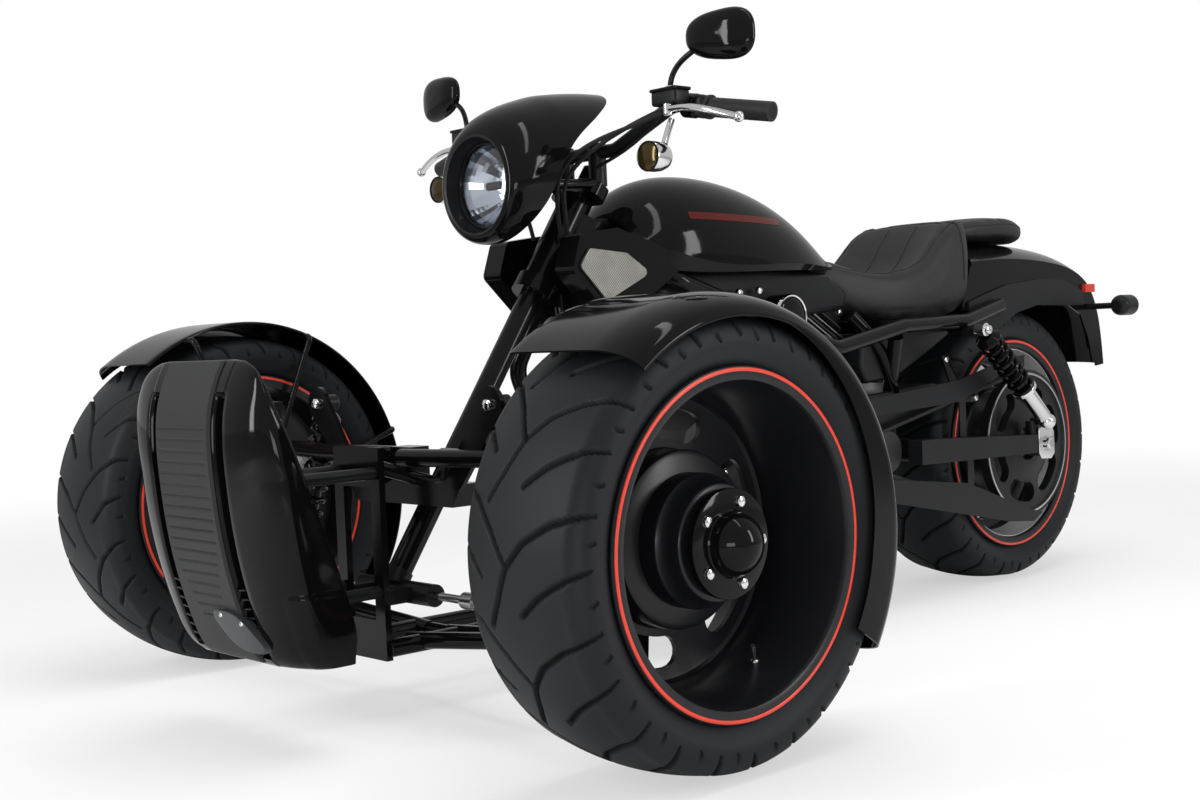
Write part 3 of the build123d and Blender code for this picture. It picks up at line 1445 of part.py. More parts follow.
muffler_y = -292.0
muffler_radius = 45.0
pipe_radius = 22.0
pipe_bend = 38.0
muffler_back_x = -1760.0
muffler_bore_share = 0.8
exhaust_rows = [
    # port x, port z, turn x, turn z, run x, run z, muffler start x
    (-655.0, 560.0, -640.0, 420.0, -700.0, 306.0, -980.0),
    (-1000.0, 560.0, -1010.0, 490.0, -1090.0, 420.0, -1180.0),
]


def exhaust():
    """Two pipes swept down the right side into two long mufflers."""
    bodies = []
    for port_x, port_z, turn_x, turn_z, run_x, run_z, start_x in exhaust_rows:
        path = [(port_x, -cylinder_barrel_radius, port_z), (port_x, muffler_y, port_z), (turn_x, muffler_y, turn_z),
                (run_x, muffler_y, run_z), (start_x, muffler_y, run_z)]
        one = pipe(path, pipe_radius, pipe_bend)
        one += rod((start_x, muffler_y, run_z), (muffler_back_x, muffler_y, run_z), muffler_radius)
        one -= rod((muffler_back_x + muffler_radius * 2, muffler_y, run_z),
                   (muffler_back_x - cut_over, muffler_y, run_z), muffler_radius * muffler_bore_share)
        bodies.append(one - cylinder_front - cylinder_rear - engine_block - frame_rails - frame_cradle)
    bodies[1] = bodies[1] - bodies[0]
    return bodies


save("exhaust", *exhaust())
peg_x = -560.0
peg_z = 290.0
peg_radius = 16.0
peg_outer_y = 330.0
peg_arm_radius = 9.0
peg_length = 106.0
peg_arm_end_y = peg_outer_y - peg_length + peg_arm_radius
peg_left = rod((peg_x, peg_outer_y - peg_length, peg_z), (peg_x, peg_outer_y, peg_z), peg_radius)
peg_left += rod((peg_x + peg_radius, case_half_width + cut_over, peg_z), (peg_x, peg_arm_end_y, peg_z),
                peg_arm_radius)
peg_left = peg_left - engine_block - frame_cradle
save("foot_pegs", *both(peg_left))
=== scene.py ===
# %% [markdown]
# # A reverse trike, dressed in Blender
# The real object is a black custom trike: two very wide steered wheels in front, one driven wheel
# behind, a raked steering column, a V-twin between and a leather seat. The measured frame comes from
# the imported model, and this script gives it its surfaces. Everything is in metres, X forward, Y to the
# rider's left, Z up.

# %% Load the frame
import math

import bpy
from mathutils import Matrix, Vector


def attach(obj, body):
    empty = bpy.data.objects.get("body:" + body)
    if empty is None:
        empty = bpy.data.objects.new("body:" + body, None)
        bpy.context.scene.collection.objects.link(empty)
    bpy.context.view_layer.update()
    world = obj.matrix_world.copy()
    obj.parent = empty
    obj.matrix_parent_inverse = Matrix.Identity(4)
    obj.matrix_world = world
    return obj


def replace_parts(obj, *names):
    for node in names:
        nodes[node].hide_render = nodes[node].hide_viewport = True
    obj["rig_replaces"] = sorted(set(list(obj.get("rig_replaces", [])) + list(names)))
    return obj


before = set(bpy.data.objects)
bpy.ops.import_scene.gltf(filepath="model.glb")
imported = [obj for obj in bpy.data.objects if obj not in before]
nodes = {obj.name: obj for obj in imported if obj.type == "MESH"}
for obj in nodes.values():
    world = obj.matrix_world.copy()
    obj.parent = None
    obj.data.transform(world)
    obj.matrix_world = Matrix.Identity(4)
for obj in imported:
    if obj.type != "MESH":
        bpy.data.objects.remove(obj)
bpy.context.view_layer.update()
print("CAD nodes:", len(nodes))

# %% [markdown]
# ## Camera
# The photograph was matched by fitting the ellipses of the wheels, which gave the camera's place, its
# turn and its lens. It comes first, so that each later piece can be judged in the same view.

# %% Camera at the photograph's view
WHEELBASE = 1660.0
AXLE_X = 0.825
TYRE_R = 324.5
WHEEL_Y = 0.6467
CAMERA_PLACE = (1588.8, 2217.3, 617.4)
CAMERA_TURN = (47.5856, 2.3129, -2.3826)
CAMERA_LENS = 47.47


def at(x, y, z):
    """A point measured in millimetres from the floor under the front axle's middle."""
    return Vector((AXLE_X + x / 1000, y / 1000, z / 1000))


yaw, pitch, roll = (math.radians(angle) for angle in CAMERA_TURN)
backward = Vector((math.cos(yaw) * math.cos(pitch), math.sin(yaw) * math.cos(pitch), math.sin(pitch)))
level = Vector((-math.sin(yaw), math.cos(yaw), 0))
upward = level.cross(-backward)
right = level * math.cos(roll) + upward * math.sin(roll)
up = upward * math.cos(roll) - level * math.sin(roll)
bpy.ops.object.camera_add()
camera = bpy.context.object
turn = Matrix((right, up, backward)).transposed().to_4x4()
camera.matrix_world = Matrix.Translation(at(*CAMERA_PLACE)) @ turn
camera.data.lens = CAMERA_LENS
bpy.context.scene.camera = camera
print("lens", camera.data.lens)

# %% [markdown]
# ## Studio
# The trike stands on a seamless white floor. A broad box lights it from above, but the paint doesn't
# mirror it, because it would lie on the tank as a grey block. Narrow strips above and beside it draw
# the long highlights that black gloss lives on.

# %% Floor, world and soft boxes
SOFT_BOXES = [
    # name, place, width, height, power in watts
    ("overhead_box", (0.0, 0.4, 3.4), 3.2, 2.4, 72),
    ("ridge_strip", (0.3, 1.2, 3.0), 0.22, 2.2, 9),
    ("front_strip", (3.4, -0.6, 1.5), 0.35, 2.2, 40),
    ("side_strip", (-1.2, 3.6, 1.6), 0.5, 2.0, 40),
    ("low_fill", (2.6, 2.6, 0.5), 1.2, 0.5, 14),
]
LIT_POINT = (0.2, 0, 0.5)


def soft_box(name, place, width, height, power):
    """A rectangular lamp that faces the machine's middle."""
    bpy.ops.object.light_add(type="AREA", location=place)
    lamp = bpy.context.object
    lamp.name = name
    lamp.data.shape = "RECTANGLE"
    lamp.data.size = width
    lamp.data.size_y = height
    lamp.data.energy = power
    lamp.rotation_euler = (Vector(LIT_POINT) - Vector(place)).to_track_quat("-Z", "Y").to_euler()
    return lamp


boxes = [soft_box(*row) for row in SOFT_BOXES]
boxes[0].visible_glossy = False
bpy.context.scene.view_settings.view_transform = "Standard"
print("soft boxes", len(boxes))

# %% [markdown]
# ## Materials as sums
# A Blender material is a graph of nodes, and wiring it line by line is long to write and hard to read.
# So one small class makes nodes, and another wraps a socket, and a formula such as 1 - mask adds its
# own Math nodes.


# %% A material under construction and its wires
class Paint:
    """A material under construction: it adds nodes and gives back sockets that take part in sums."""

    def __init__(self, name, tree=None):
        if tree is None:
            self.material = bpy.data.materials.new(name)
            self.material.use_nodes = True
            tree = self.material.node_tree
        self.tree = tree
        self.surface = next((n for n in tree.nodes if n.type == "BSDF_PRINCIPLED"), None)

    def node(self, kind, settings=None, **values):
        """Adds a node, sets it up, and fills its sockets with numbers or links."""
        made = self.tree.nodes.new(kind)
        for key, value in (settings or {}).items():
            if key == "stops":
                ramp = made.color_ramp
                while len(ramp.elements) < len(value):
                    ramp.elements.new(0.5)
                for element, (place, colour) in zip(ramp.elements, value):
                    element.position = place
                    element.color = (*colour, 1) if len(colour) == 3 else colour
            else:
                setattr(made, key, value)
        for key, value in values.items():
            numbered = key[0] == "i" and key[1:].isdigit()
            self.fill(made.inputs[int(key[1:]) if numbered else key.replace("_", " ")], value)
        return made

    def fill(self, socket, value):
        """Puts a number or a link into a socket."""
        if isinstance(value, Wire):
            self.tree.links.new(value.socket, socket)
        elif isinstance(value, bpy.types.NodeSocket):
            self.tree.links.new(value, socket)
        else:
            socket.default_value = value

    def wire(self, kind, settings=None, output=0, **values):
        return Wire(self, self.node(kind, settings, **values).outputs[output])

    def finish(self, **values):
        """Sets sockets of the shader by name."""
        for key, value in values.items():
            self.fill(self.surface.inputs[key.replace("_", " ")], value)
        return self.material


class Wire:
    """A socket in a sum: a + b, 1 - mask and so on add their Math nodes."""

    def __init__(self, paint, socket):
        self.paint = paint
        self.socket = socket

    def join(self, operation, *values):
        made = self.paint.tree.nodes.new("ShaderNodeMath")
        made.operation = operation
        for number, value in enumerate(values):
            self.paint.fill(made.inputs[number], value)
        return Wire(self.paint, made.outputs[0])

    def __add__(self, other):
        return self.join("ADD", self, other)

    def __radd__(self, other):
        return self.join("ADD", other, self)

    def __sub__(self, other):
        return self.join("SUBTRACT", self, other)

    def __rsub__(self, other):
        return self.join("SUBTRACT", other, self)

    def __mul__(self, other):
        return self.join("MULTIPLY", self, other)

    def __rmul__(self, other):
        return self.join("MULTIPLY", other, self)


# %% [markdown]
# ## White world and floor
# The camera sees a pure white sky, while the paint mirrors a dimmer one, because black gloss turns grey
# under a sky that is bright on every side. The floor glows more towards its edge, so that no horizon
# shows.

# %% World and floor
MIRRORED_SKY, DIM_SKY = 0.20, 0.42
NEAR_GLOW = 0.55
world = bpy.data.worlds.new("white_studio")
world.use_nodes = True
bpy.context.scene.world = world
sky = Paint("sky", world.node_tree)
light_path = sky.node("ShaderNodeLightPath")
seen = Wire(sky, light_path.outputs["Is Camera Ray"])
glossy = Wire(sky, light_path.outputs["Is Glossy Ray"])
mirrored_share = glossy + Wire(sky, light_path.outputs["Is Transmission Ray"])
strength = seen + (1 - seen) * (mirrored_share * MIRRORED_SKY + DIM_SKY)
backdrop = next(n for n in world.node_tree.nodes if n.type == "BACKGROUND")
sky.fill(backdrop.inputs["Color"], (1, 1, 1, 1))
sky.fill(backdrop.inputs["Strength"], strength)

FLOOR_SIZE = 60
FLOOR_GAP = 0.0005
bpy.ops.object.select_all(action="DESELECT")
bpy.ops.mesh.primitive_plane_add(size=FLOOR_SIZE, location=(0, 0, -FLOOR_GAP))
floor = bpy.context.object
floor.name = "studio_floor"
floor_paint = Paint("floor_white")
floor_path = floor_paint.node("ShaderNodeLightPath")
floor_seen = Wire(floor_paint, floor_path.outputs["Is Camera Ray"])
glow = floor_paint.node("ShaderNodeEmission", Strength=1.0)
floor_place = floor_paint.node("ShaderNodeTexCoord").outputs["Object"]
away = floor_paint.wire("ShaderNodeVectorMath", {"operation": "LENGTH"}, 1, i0=floor_place)
far = floor_paint.wire("ShaderNodeMapRange", {"interpolation_type": "SMOOTHSTEP"}, Value=away, From_Min=1.4,
                       From_Max=5.0)
mix = floor_paint.node("ShaderNodeMixShader", i0=floor_seen * (far * (1 - NEAR_GLOW) + NEAR_GLOW),
                       i1=floor_paint.surface.outputs[0], i2=glow.outputs[0])
floor_end = next(n for n in floor_paint.tree.nodes if n.type == "OUTPUT_MATERIAL")
floor_paint.tree.links.new(mix.outputs[0], floor_end.inputs["Surface"])
floor_white = floor_paint.finish(Base_Color=(0.9, 0.9, 0.9, 1), Roughness=0.9, Specular_IOR_Level=0.0)
floor.data.materials.append(floor_white)
print("studio ready")

# %% [markdown]
# ## Finishes
# Each finish is a small recipe of nodes on object coordinates, so the pattern stays on the piece. Black
# paint gets a faint orange peel, satin black a fine grain, and rubber a dusty variation with painted
# shade, near black, in its grooves.


# %% Finishes
def speckle(paint, scale, detail=4.0, rough=0.6):
    """Noise on the object's own coordinates."""
    place = paint.node("ShaderNodeTexCoord").outputs["Object"]
    return paint.wire("ShaderNodeTexNoise", Vector=place, Scale=scale, Detail=detail, Roughness=rough)


def bump(paint, height, distance, strength=1.0):
    return paint.wire("ShaderNodeBump", Height=height, Distance=distance, Strength=strength)


def blend(paint, mask, low, high):
    """A colour between two others, each a plain colour or a wire."""
    low, high = (end if isinstance(end, Wire) else (*end, 1) for end in (low, high))
    return paint.wire("ShaderNodeMix", {"data_type": "RGBA"}, 2, i0=mask, i6=low, i7=high)


def surface(name, colour, spread, rough, rough_spread, grain, grain_depth, metallic=0.0, specular=0.5):
    """A finish whose colour and gloss vary a little over the piece, with a fine grain in its normal."""
    paint = Paint(name)
    broad = speckle(paint, 9.0, 3.0)
    fine = speckle(paint, grain, 3.0)
    high = tuple(min(1.0, c * (1 + spread) + spread * 0.002) for c in colour)
    low = tuple(c * (1 - spread) for c in colour)
    return paint.finish(Base_Color=blend(paint, broad, low, high), Metallic=metallic,
                        Roughness=rough + (broad - 0.5) * rough_spread, Specular_IOR_Level=specular,
                        Normal=bump(paint, fine, grain_depth))


black_paint = surface("black_paint", (0.0035, 0.0035, 0.004), 0.3, 0.07, 0.04, 260, 0.00002, specular=0.15)
frame_black = surface("frame_black", (0.004, 0.004, 0.0045), 0.3, 0.14, 0.08, 300, 0.00004, specular=0.18)
satin_black = surface("satin_black", (0.0075, 0.008, 0.009), 0.3, 0.36, 0.1, 420, 0.00008, specular=0.22)
rim_black = surface("rim_black", (0.0065, 0.0068, 0.0085), 0.25, 0.3, 0.06, 500, 0.00005, specular=0.3)
wrinkle_black = surface("wrinkle_black", (0.012, 0.012, 0.013), 0.4, 0.5, 0.1, 900, 0.0003, specular=0.4)
chrome = surface("chrome", (0.72, 0.72, 0.73), 0.05, 0.07, 0.04, 200, 0.00001, metallic=1.0)
alloy = surface("cast_alloy", (0.46, 0.46, 0.46), 0.15, 0.33, 0.12, 420, 0.0001, metallic=1.0)
# Painted reflection: light grey stands for the light on the rear rim's black polished barrel.
barrel_painted_reflection = surface("barrel_painted_reflection", (0.8, 0.8, 0.8), 0.04, 0.5, 0.06, 500, 0.00005, metallic=0.75)
steel = surface("bright_steel", (0.5, 0.5, 0.5), 0.1, 0.24, 0.1, 700, 0.00005, metallic=1.0)
# Painted shade and reflection: the lamp's bowl is a darker, bluish copy of chrome, for the dim light inside
# the lamp.
lamp_chrome_painted_shade = surface("lamp_chrome_painted_shade", (0.44, 0.49, 0.57), 0.06, 0.12, 0.05, 120, 0.00002, metallic=1.0)
red_paint = surface("red_stripe", (0.78, 0.045, 0.018), 0.1, 0.3, 0.1, 300, 0.00002)
dark_red = surface("dark_red_stripe", (0.075, 0.008, 0.006), 0.15, 0.2, 0.05, 300, 0.00002, specular=0.2)
red_lens = surface("red_lens", (0.62, 0.03, 0.015), 0.15, 0.12, 0.05, 300, 0.00002)
belt_rubber = surface("belt_rubber", (0.01, 0.01, 0.01), 0.3, 0.6, 0.1, 500, 0.0002, specular=0.3)
grip_rubber = surface("grip_rubber", (0.012, 0.012, 0.012), 0.3, 0.55, 0.1, 800, 0.0002, specular=0.35)
ribbed_plastic = surface("ribbed_plastic", (0.0155, 0.016, 0.017), 0.2, 0.5, 0.1, 900, 0.00015, specular=0.3)
cap_plastic = surface("cap_plastic", (0.045, 0.049, 0.054), 0.1, 0.45, 0.08, 700, 0.0001, specular=0.4)
amber_lens = surface("smoked_amber", (0.055, 0.038, 0.012), 0.3, 0.1, 0.05, 300, 0.00002, metallic=0.6,
                     specular=0.25)
mirror_glass = surface("mirror_glass", (0.6, 0.62, 0.64), 0.02, 0.04, 0.02, 100, 0.00001, metallic=1.0,
                       specular=0.25)


def rubber_finish():
    """Tyre rubber: dusty on top, and near black with painted shade where the groove attribute says that the
    carving sinks.
    """
    paint = Paint("tyre_rubber")
    broad = speckle(paint, 9.0, 3.0)
    fine = speckle(paint, 700, 3.0)
    sink_and_shade = Wire(paint, paint.node("ShaderNodeAttribute", {"attribute_name": "groove"}).outputs["Fac"])
    top = blend(paint, broad, (0.0065, 0.0082, 0.0096), (0.0098, 0.0118, 0.0135))
    # Painted shade: the grooves' floor is coloured near black.
    return paint.finish(Base_Color=blend(paint, sink_and_shade, top, (0.0008, 0.0008, 0.0009)),
                        Roughness=0.5 + (broad - 0.5) * 0.14 + sink_and_shade * 0.3, Specular_IOR_Level=0.2,
                        Normal=bump(paint, fine, 0.0002))


def leather_finish():
    """Black leather: a grain of small cells over slow, broad creases."""
    paint = Paint("black_leather")
    place = paint.node("ShaderNodeTexCoord").outputs["Object"]
    cells = paint.wire("ShaderNodeTexVoronoi", Vector=place, Scale=520.0)
    broad = speckle(paint, 14.0, 5.0)
    return paint.finish(Base_Color=blend(paint, broad, (0.006, 0.006, 0.006), (0.013, 0.0125, 0.012)),
                        Roughness=0.42 + broad * 0.12, Specular_IOR_Level=0.4,
                        Normal=bump(paint, cells + broad * 0.6, 0.0004, 0.7))


MESH_PITCH = 1100.0


def screen_finish():
    """Silver perforated mesh: dark holes in a close square grid."""
    paint = Paint("silver_mesh")
    place = paint.node("ShaderNodeTexCoord").outputs["Object"]
    split = paint.node("ShaderNodeSeparateXYZ", Vector=place)
    along, upwards = (Wire(paint, split.outputs[axis]) * MESH_PITCH for axis in "XZ")
    holes = along.join("SINE", along) * upwards.join("SINE", upwards) * 0.5 + 0.5
    wires = blend(paint, speckle(paint, 55.0, 4.0), (0.22, 0.21, 0.19), (0.56, 0.55, 0.50))
    return paint.finish(Base_Color=blend(paint, holes, (0.04, 0.04, 0.035), wires), Metallic=0.8,
                        Roughness=0.36, Normal=bump(paint, holes, 0.0006, 0.8))


def glass_finish():
    """Clear lens glass."""
    paint = Paint("lens_glass")
    fine = speckle(paint, 60.0, 2.0)
    return paint.finish(Base_Color=(1, 1, 1, 1), Roughness=0.02, Transmission_Weight=1.0, IOR=1.45,
                        Normal=bump(paint, fine, 0.0001, 0.3))


rubber = rubber_finish()
leather = leather_finish()
silver_mesh = screen_finish()
lens_glass = glass_finish()
print("finishes", len(bpy.data.materials))

# %% [markdown]
# ## Picking and finishing a piece
# An operator acts on all that is selected, so each step picks one piece alone. A finished piece has its
# place in its mesh, one finish, and the body of the model that it rides on.


# %% Helpers for one piece
def begin():
    """Nothing stays selected from the step before."""
    if bpy.context.object and bpy.context.object.mode != "OBJECT":
        bpy.ops.object.mode_set(mode="OBJECT")
    bpy.ops.object.select_all(action="DESELECT")


def pick(piece):
    """Selects one piece alone and makes it the active one."""
    begin()
    bpy.context.view_layer.objects.active = piece
    piece.select_set(True)


def paint_with(piece, material):
    """Gives a piece one material in place of any that it has."""
    piece.data.materials.clear()
    piece.data.materials.append(material)


def settle(piece, material, body, soft_angle=35):
    """Applies the place, shades the piece, paints it and hangs it on its body."""
    pick(piece)
    bpy.ops.object.transform_apply(location=True, rotation=True, scale=True)
    if soft_angle:
        bpy.ops.object.shade_smooth_by_angle(angle=math.radians(soft_angle))
    paint_with(piece, material)
    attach(piece, body)
    return piece


def clean(piece, distance=0.00005):
    """Merges doubled points and turns all faces outwards."""
    pick(piece)
    bpy.ops.object.mode_set(mode="EDIT")
    bpy.ops.mesh.select_all(action="SELECT")
    bpy.ops.mesh.remove_doubles(threshold=distance)
    bpy.ops.mesh.normals_make_consistent(inside=False)
    bpy.ops.object.mode_set(mode="OBJECT")


def modify(piece, kind, **settings):
    """Adds a modifier, sets it and applies it at once."""
    pick(piece)
    made = piece.modifiers.new(kind.lower(), kind)
    for key, value in settings.items():
        setattr(made, key, value)
    bpy.ops.object.modifier_apply(modifier=made.name)
    return piece


# %% [markdown]
# ## Spun and extruded pieces
# A turned part starts as one corner point that is extruded along its profile and then spun, as on a
# lathe. A plate starts the same way, and its outline is filled and extruded once more.


# %% Helpers for spun and extruded pieces
def profile_line(name, points):
    """A chain of points drawn by extruding a single corner."""
    begin()
    bpy.ops.mesh.primitive_plane_add(size=0.001, location=(0, 0, 0))
    piece = bpy.context.object
    piece.name = name
    bpy.ops.object.mode_set(mode="EDIT")
    bpy.ops.mesh.select_all(action="SELECT")
    bpy.ops.mesh.merge(type="CENTER")
    bpy.ops.transform.translate(value=points[0])
    last = Vector(points[0])
    for point in points[1:]:
        bpy.ops.mesh.extrude_region_move(TRANSFORM_OT_translate={"value": Vector(point) - last})
        last = Vector(point)
    return piece


def prism(name, points, depth):
    """A closed outline filled with a face and extruded along Y by a depth in metres."""
    piece = profile_line(name, points)
    bpy.ops.mesh.select_all(action="SELECT")
    bpy.ops.mesh.edge_face_add()
    bpy.ops.mesh.extrude_region_move(TRANSFORM_OT_translate={"value": (0, depth, 0)})
    bpy.ops.object.mode_set(mode="OBJECT")
    clean(piece)
    return piece


def lathe(name, profile, centre, material, body, steps=96, closed=False, soft_angle=35, axis=(0, 1, 0),
          finish=True):
    """Spins (radius, offset) points, in millimetres, about an axis through the centre."""
    rows = list(profile) + ([profile[0]] if closed else [])
    piece = profile_line(name, [Vector((r / 1000, y / 1000, 0)) for r, y in rows])
    bpy.ops.mesh.select_all(action="SELECT")
    bpy.ops.mesh.spin(steps=steps, angle=2 * math.pi, center=(0, 0, 0), axis=(0, 1, 0))
    bpy.ops.object.mode_set(mode="OBJECT")
    clean(piece)
    tilt = Vector((0, 1, 0)).rotation_difference(Vector(axis)).to_matrix().to_4x4()
    piece.matrix_world = Matrix.Translation(centre) @ tilt
    if finish:
        settle(piece, material, body, soft_angle)
    return piece


def bolt(place, axis, material, body, radius=8.0, height=6.0):
    """A domed bolt head standing on a face."""
    profile = [(0, height), (radius * 0.55, height), (radius * 0.85, height * 0.82), (radius, height * 0.45),
               (radius, 0)]
    return lathe("bolt", profile, place, material, body, steps=20, axis=axis)


def ball_rows(radius, steps):
    """The section of a ball, from pole to pole."""
    turns = [math.pi * i / steps for i in range(steps + 1)]
    return [(radius * math.sin(turn), -radius * math.cos(turn)) for turn in turns]


# %% [markdown]
# ## Sheets, tubes and blocks
# A curved panel starts as a flat grid whose points are pushed into place, as in sculpting. A tube is a
# curve with a round bevel, and a block is a cube with its edges bevelled. The right side is a mirrored
# copy of the left.


# %% Helpers for sheets, tubes, blocks and twins
def skin(name, across, along, place, material=None, body=None, wall=0.0, soft_angle=40):
    """A grid of points, each put where place(u, v) says, with a wall in millimetres if it is sheet."""
    begin()
    bpy.ops.mesh.primitive_grid_add(x_subdivisions=across, y_subdivisions=along, size=2)
    piece = bpy.context.object
    piece.name = name
    for vertex in piece.data.vertices:
        vertex.co = place(vertex.co.x / 2 + 0.5, vertex.co.y / 2 + 0.5)
    clean(piece)
    if wall:
        modify(piece, "SOLIDIFY", thickness=wall / 1000, offset=-1)
    if body:
        settle(piece, material, body, soft_angle)
    return piece


def tube(name, points, radius, material, body, smooth=True, sides=6, runs=8):
    """A round bar along points, in metres, with rounded runs between them."""
    begin()
    bpy.ops.curve.primitive_nurbs_path_add()
    piece = bpy.context.object
    piece.name = name
    piece.data.splines.clear()
    spline = piece.data.splines.new("NURBS" if smooth else "POLY")
    spline.points.add(len(points) - 1)
    for spot, point in zip(spline.points, points):
        spot.co = (*point, 1)
    if smooth:
        spline.order_u = 3
        spline.use_endpoint_u = True
        spline.resolution_u = runs
    piece.data.bevel_depth = radius / 1000
    piece.data.bevel_resolution = sides
    piece.data.use_fill_caps = True
    piece.select_set(True)
    bpy.context.view_layer.objects.active = piece
    bpy.ops.object.convert(target="MESH")
    clean(piece)
    return settle(piece, material, body)


def join(name, pieces):
    """Several finished pieces as one object."""
    begin()
    for piece in pieces:
        piece.select_set(True)
    bpy.context.view_layer.objects.active = pieces[0]
    if len(pieces) > 1:
        bpy.ops.object.join()
    pieces[0].name = name
    return pieces[0]


def rounded_box(name, place, size, bevel, material, body, turn=(0, 0, 0)):
    """A block with rounded edges, sizes in millimetres."""
    begin()
    bpy.ops.mesh.primitive_cube_add(size=1, location=place, rotation=turn)
    piece = bpy.context.object
    piece.name = name
    piece.scale = [length / 1000 for length in size]
    bpy.ops.object.transform_apply(location=True, rotation=True, scale=True)
    modify(piece, "BEVEL", width=bevel / 1000, segments=3, limit_method="ANGLE")
    return settle(piece, material, body, 40)


def mirrored(piece, name, body):
    """The piece's twin on the right-hand side, with a mesh of its own and the same finish."""
    pick(piece)
    bpy.ops.object.duplicate()
    twin = bpy.context.object
    twin.name = name
    twin.parent = None
    twin.data.transform(Matrix.Scale(-1, 4, (0, 1, 0)))
    twin.data.flip_normals()
    if "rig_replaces" in twin:
        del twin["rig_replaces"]
    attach(twin, body)
    return twin


# %% [markdown]
# ## Shapes from short tables
# A long soft form, such as the seat or the cowl, is told by a short table of sections. One smooth curve
# through each column gives the sections between, which is why the tables can stay short.


# %% Helpers that read tables
def curve_through(table, x):
    """Reads a value from a table of (place, value) pairs, along one smooth curve through them."""
    places, values = zip(*table)
    if x <= places[0]:
        return values[0]
    if x >= places[-1]:
        return values[-1]
    i = max(k for k in range(len(places) - 1) if places[k] <= x)
    step = places[i + 1] - places[i]
    share = (x - places[i]) / step

    def slope(k):
        if k == 0:
            return (values[1] - values[0]) / (places[1] - places[0])
        if k == len(places) - 1:
            return (values[-1] - values[-2]) / (places[-1] - places[-2])
        return (values[k + 1] - values[k - 1]) / (places[k + 1] - places[k - 1])

    a, b = values[i], values[i + 1]
    m0, m1 = slope(i) * step, slope(i + 1) * step
    s2, s3 = share * share, share ** 3
    return a * (2 * s3 - 3 * s2 + 1) + m0 * (s3 - 2 * s2 + share) + b * (3 * s2 - 2 * s3) + m1 * (s3 - s2)


def columns(rows, x, numbers):
    """Reads some columns of a table whose first column runs backward along X."""
    return (curve_through([(-row[0], row[number]) for row in rows], -x) for number in numbers)


def along_rows(rows, share):
    """The point at a share of the way through a list of points, in straight steps."""
    span = share * (len(rows) - 1)
    k = min(int(span), len(rows) - 2)
    return [a + (b - a) * (span - k) for a, b in zip(rows[k], rows[k + 1])]


def rounded_rise(share):
    """A quarter circle: rises steeply from 0 and levels out at 1."""
    share = min(1.0, max(0.0, share))
    return math.sqrt(max(0.0, 1 - (1 - share) ** 2))


def on_circle(x, y, z, radius, turn):
    """A point, in millimetres, on a circle in the side view."""
    return at(x + radius * math.cos(turn), y, z + radius * math.sin(turn))


def route(*points):
    """Points given in millimetres, for a tube to follow."""
    return [at(*point) for point in points]


def blunted(value, power):
    """A sine or cosine pushed outwards, which turns an oval into a fuller leaf."""
    return math.copysign(abs(value) ** power, value)


print("helpers ready")

# %% [markdown]
# ## Tyres
# The real tread is a wide flat crown with long slanted grooves that meet in a zigzag near the middle.
# The tyre is spun from its section, and then each point near a groove's line sinks into the rubber.

# %% The tyre's section
TREAD_HALF, SHOULDER_R, CROWN = 120.0, 34.0, 9.0
FLAT_HALF = TREAD_HALF - SHOULDER_R - 2.0
SHOULDER_FOOT = TYRE_R - CROWN - SHOULDER_R
TREAD_STEPS, SHOULDER_STEPS, ROUND_STEPS = 62, 13, 720


def tyre_profile():
    """The tyre's outer section from bead to bead, finely stepped across the tread."""
    side = [(246.0, 103.0), (252.0, 107.0), (262.0, 113.5), (272.0, 117.5), (278.0, 118.4), (281.5, 118.0)]
    for i in range(SHOULDER_STEPS + 1):
        turn = math.radians(4 + 84 * i / SHOULDER_STEPS)
        side.append((SHOULDER_FOOT + SHOULDER_R * math.sin(turn),
                     TREAD_HALF - SHOULDER_R + (SHOULDER_R - 2.0) * math.cos(turn)))
    crown = []
    for i in range(1, TREAD_STEPS):
        y = FLAT_HALF - 2 * FLAT_HALF * i / TREAD_STEPS
        crown.append((TYRE_R - CROWN * (abs(y) / (TREAD_HALF - SHOULDER_R)) ** 2, y))
    return side + crown + [(r, -y) for r, y in reversed(side)]


print("tyre section", len(tyre_profile()), "points")

# %% [markdown]
# ## Tread grooves
# The pattern repeats every 30 degrees. Cutting it with booleans would be slow and would leave ragged
# edges, so each point of the finely stepped tread is measured against the grooves' lines and sinks if
# it is near one.

# %% Grooves, carved point by point
PITCH = 30.0
GROOVE_DEPTH, GROOVE_HALF, GROOVE_WALL = 6.5, 4.1, 1.6
BIN = 20
GROOVES = [
    # (distance across the tread from its middle in mm, degrees round the tyre) points of one groove
    [(-8, 0), (25, 6.0), (70, 10.5), (112, 13.2), (131, 14.0)],
    [(15, -11), (50, -6.2), (95, -1.8), (128, 0.4)],
    [(126, 6.6), (138, 7.6)],
    [(126, -8.6), (138, -7.6)],
    [(-8, 0), (-40, 8.0), (-80, 15.5), (-112, 19.5), (-131, 20.5)],
    [(-8, 0), (-30, -8.0), (-54, -14.5)],
    [(-66, -2.5), (-100, 4.0), (-128, 6.6)],
    [(-126, 13.0), (-138, 14.0)],
    [(-126, -1.0), (-138, 0.0)],
]


def groove_bins():
    """The grooves' straight runs all round the tyre, sorted by where they lie round it."""
    bins = {}
    for groove in GROOVES:
        for pitch in range(-1, int(360 / PITCH) + 1):
            path = [(s, math.radians(a + PITCH * pitch) * TYRE_R) for s, a in groove]
            for (s0, c0), (s1, c1) in zip(path, path[1:]):
                for key in range(int(min(c0, c1) // BIN) - 1, int(max(c0, c1) // BIN) + 2):
                    bins.setdefault(key, []).append((s0, c0, s1, c1))
    return bins


def across_tread(y, r):
    """The distance from the tread's middle, measured along its section."""
    across = abs(y)
    if across > FLAT_HALF:
        across = FLAT_HALF + SHOULDER_R * math.acos(max(-1, min(1, (r - SHOULDER_FOOT) / SHOULDER_R)))
    return math.copysign(across, y)


